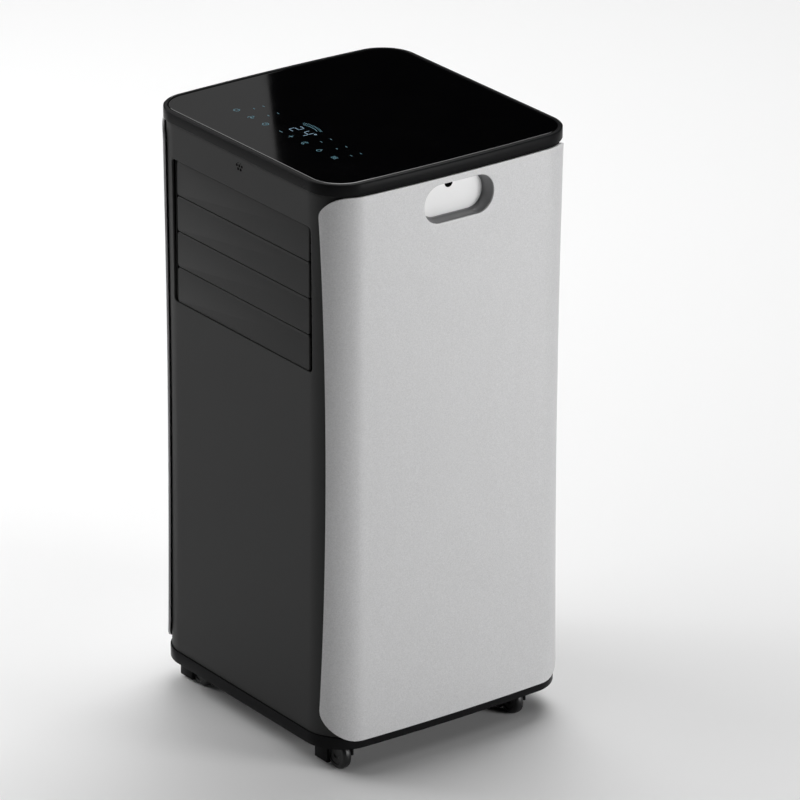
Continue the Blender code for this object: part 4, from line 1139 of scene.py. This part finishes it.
def buildRearScrews():
    # cross-head screws down both edges of the rear cover
    face = coverFace(1)
    spots = [face(x, z) for x in (-screws["out"], screws["out"]) for z in screws["heights"]]

    def build(tree, size):
        head = tree.add("GeometryNodeMeshCylinder", {}, {
            "Vertices": 28, "Radius": size["Head"], "Depth": size["Rise"]})
        marks = []
        for turn in (0.0, math.pi / 2):
            bar = tree.add("GeometryNodeMeshCube", {}, {"Size": size["Slot"]})
            marks.append(tree.add("GeometryNodeTransform", {}, {
                "Geometry": bar, "Rotation": (0, 0, turn + math.pi / 4), "Translation": size["Slot rise"]}))
        cross = tree.joined(*marks)
        cutHead = tree.add("GeometryNodeMeshBoolean", {"operation": "DIFFERENCE"}, {
            "Mesh 1": head, "Mesh 2": cross})
        upright = tree.add("GeometryNodeTransform", {}, {
            "Geometry": cutHead, "Rotation": (-math.pi / 2, 0, 0)})
        return tree.joined(*(tree.add("GeometryNodeTransform", {}, {
            "Geometry": upright, "Translation": size[f"Spot {number}"]}) for number in range(len(spots))))

    sizes = {"Head": screws["head"], "Rise": screws["rise"], "Slot": screws["slot"],
             "Slot rise": (0.0, 0.0, screws["rise"] / 2)}
    sizes.update({f"Spot {number}": (p.x, p.y + screws["rise"] * 0.3, p.z) for number, p in enumerate(spots)})
    finished(geometryPiece("rearScrews", sizes, build, finishes["steel"]), "steel", "casing")


for filterName in ("upper", "lower"):
    buildFilter(filterName)
buildCollar()
buildPlug("upper_drain_plug")
buildPlug("lower_drain_plug")
buildGland()
buildRearScrews()
print("rear done")


coil = {"pitch": 1.9 * mm, "fin": 0.35 * mm, "tubePitch": 25 * mm, "tube": 4 * mm, "plate": 1.2 * mm}


def buildCoil(node, name):
    low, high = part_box(node)
    middle, size = (low + high) / 2, high - low
    tubes = int(size.z / coil["tubePitch"])

    def build(tree, sizes):
        fin = tree.add("GeometryNodeMeshCube", {}, {"Size": sizes["Fin"]})
        spots = tree.add("GeometryNodeMeshLine", {}, {
            "Count": sizes["Fins"], "Start Location": sizes["First"], "Offset": sizes["Step"]})
        stack = tree.add("GeometryNodeInstanceOnPoints", {}, {"Points": spots, "Instance": fin})
        pipe = tree.add("GeometryNodeMeshCylinder", {}, {
            "Vertices": 20, "Radius": sizes["Tube"], "Depth": sizes["Length"]})
        laid = tree.add("GeometryNodeTransform", {}, {"Geometry": pipe, "Rotation": (0, math.pi / 2, 0)})
        rows = tree.add("GeometryNodeMeshLine", {}, {
            "Count": sizes["Tubes"], "Start Location": sizes["Tube first"], "Offset": sizes["Tube step"]})
        pipes = tree.add("GeometryNodeInstanceOnPoints", {}, {"Points": rows, "Instance": laid})
        return tree.joined(stack, pipes)

    step = size.z / tubes
    sizes = {"Fin": (coil["fin"], size.y, size.z), "Fins": int((size.x - 8 * mm) / coil["pitch"]),
             "First": (low.x + 4 * mm, middle.y, middle.z), "Step": (coil["pitch"], 0.0, 0.0),
             "Tube": coil["tube"], "Length": size.x, "Tubes": tubes,
             "Tube first": (middle.x, middle.y, low.z + step / 2), "Tube step": (0.0, 0.0, step)}
    stack = geometryPiece("stack", sizes, build, finishes["fins"])
    plate = coil["plate"]
    ends = [roundedBox("end", (x, low.y, low.z), (x + plate, high.y, high.z), 0.3 * mm)
            for x in (low.x, high.x - plate)]
    finished(together(name, stack, *ends), "fins", "casing", (node,))


buildCoil("evaporator", "evaporatorCoil")
buildCoil("condenser", "condenserCoil")

carriedOver = {
    "charcoal": ("outlet_duct",),
    "inner": ("deck_pan", "blower_housing", "blower_wheel", "exhaust_housing", "exhaust_wheel",
              "slinger_wheel", "control_box", "louver_motor"),
    "enamel": ("compressor", "accumulator", "blower_motor", "exhaust_motor", "slinger_motor"),
    "steel": ("louver_link", "run_capacitor"),
    "copper": ("discharge_pipe", "suction_pipe", "capillary_tube"),
    "rubber": ("compressor_grommet_1", "compressor_grommet_2", "compressor_grommet_3"),
    "board": ("display_board",),
}
for finish, nodeNames in carriedOver.items():
    for nodeName in nodeNames:
        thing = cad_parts[nodeName]
        for materialSlot in thing.material_slots:
            materialSlot.material = finishes[finish]
        if not thing.material_slots:
            thing.data.materials.append(finishes[finish])
print("inside done")


studio = {
    "floor": (0.86, 0.86, 0.86), "world": 0.0,
    # the camera's bearing and tilt in degrees, how far it stands off and what it looks at
    "azimuth": 53.4706, "elevation": 22.8331, "distance": 6.7935,
    "aimZ": 0.3675, "across": 0.0432, "up": -0.0053, "roll": 0.27, "lens": 272.32,
}


def direction(azimuth, elevation):
    a, e = math.radians(azimuth), math.radians(elevation)
    return Vector((math.sin(a) * math.cos(e), -math.cos(a) * math.cos(e), math.sin(e)))


def buildCamera():
    back = direction(studio["azimuth"], studio["elevation"])
    across = Vector((0, 0, 1)).cross(back).normalized()
    up = back.cross(across)
    camera = bpy.data.objects.new("camera", bpy.data.cameras.new("camera"))
    bpy.context.scene.collection.objects.link(camera)
    camera.data.lens, camera.data.sensor_width = studio["lens"], 36
    camera.data.clip_end = 100
    aim = Vector((0, bodyY, studio["aimZ"]))
    camera.location = aim + back * studio["distance"] + across * studio["across"] + up * studio["up"]
    camera.rotation_mode = "QUATERNION"
    camera.rotation_quaternion = Quaternion(back, math.radians(studio["roll"])) @ back.to_track_quat("Z", "Y")
    bpy.context.scene.camera = camera


lamps = {  # where each softbox stands, what it faces, its width and height, and its power in watts
    "frontHigh": ((-2.35, -1.36, 1.67), (0, 0, 0.4), (1.5, 1.5), 33.0),
    "frontLow": ((-2.10, -2.10, 0.82), (0, 0, 0.4), (1.2, 1.2), 8.0),
    "frontFloor": ((-1.20, -1.80, 3.00), (-0.8, -1.1, 0.0), (1.6, 1.6), 22.0),
    "sideKey": ((2.64, 1.42, 0.62), (0, 0, 0.36), (1.0, 1.2), 46.0),
    "overRear": ((-1.50, 2.00, 4.00), (-1.0, 1.0, 0.0), (3.0, 3.0), 125.0),
    "overLeft": ((-3.00, 1.00, 3.50), (-1.5, 0.5, 0.0), (3.0, 3.0), 45.0),
    "overSide": ((1.60, 0.20, 3.20), (1.1, 0.0, 0.0), (1.6, 1.6), 10.0),
    "glassCard": ((-1.85, 0.60, 1.48), (0, 0, 0.7), (1.0, 1.0), 0.8),
}


def addLamp(name, spot, aim, size, power):
    lamp = bpy.data.lights.new(name, "AREA")
    lamp.shape, lamp.energy = "RECTANGLE", power
    lamp.size, lamp.size_y = size
    thing = bpy.data.objects.new(name, lamp)
    bpy.context.scene.collection.objects.link(thing)
    thing.location = spot
    thing.rotation_euler = (Vector(spot) - Vector(aim)).to_track_quat("Z", "Y").to_euler()


def buildStudio():
    floor = meshFrom("floor", [(-30, -30, 0), (30, -30, 0), (30, 30, 0), (-30, 30, 0)], [[0, 1, 2, 3]])
    material, tree, shader = newMaterial("paleFloor", studio["floor"], 0.7, specular=0.2)
    feed(tree, shader, "Roughness", noise(tree, 3.0) * 0.1 + 0.65)
    floor.data.materials.append(material)
    world = bpy.data.worlds.new("studio")
    world.use_nodes = True
    world.node_tree.nodes["Background"].inputs["Strength"].default_value = studio["world"]
    bpy.context.scene.world = world
    for name, (spot, aim, size, power) in lamps.items():
        addLamp(name, spot, aim, size, power)
    bpy.context.scene.view_settings.view_transform = "Standard"


buildStudio()
buildCamera()
print("studio done")
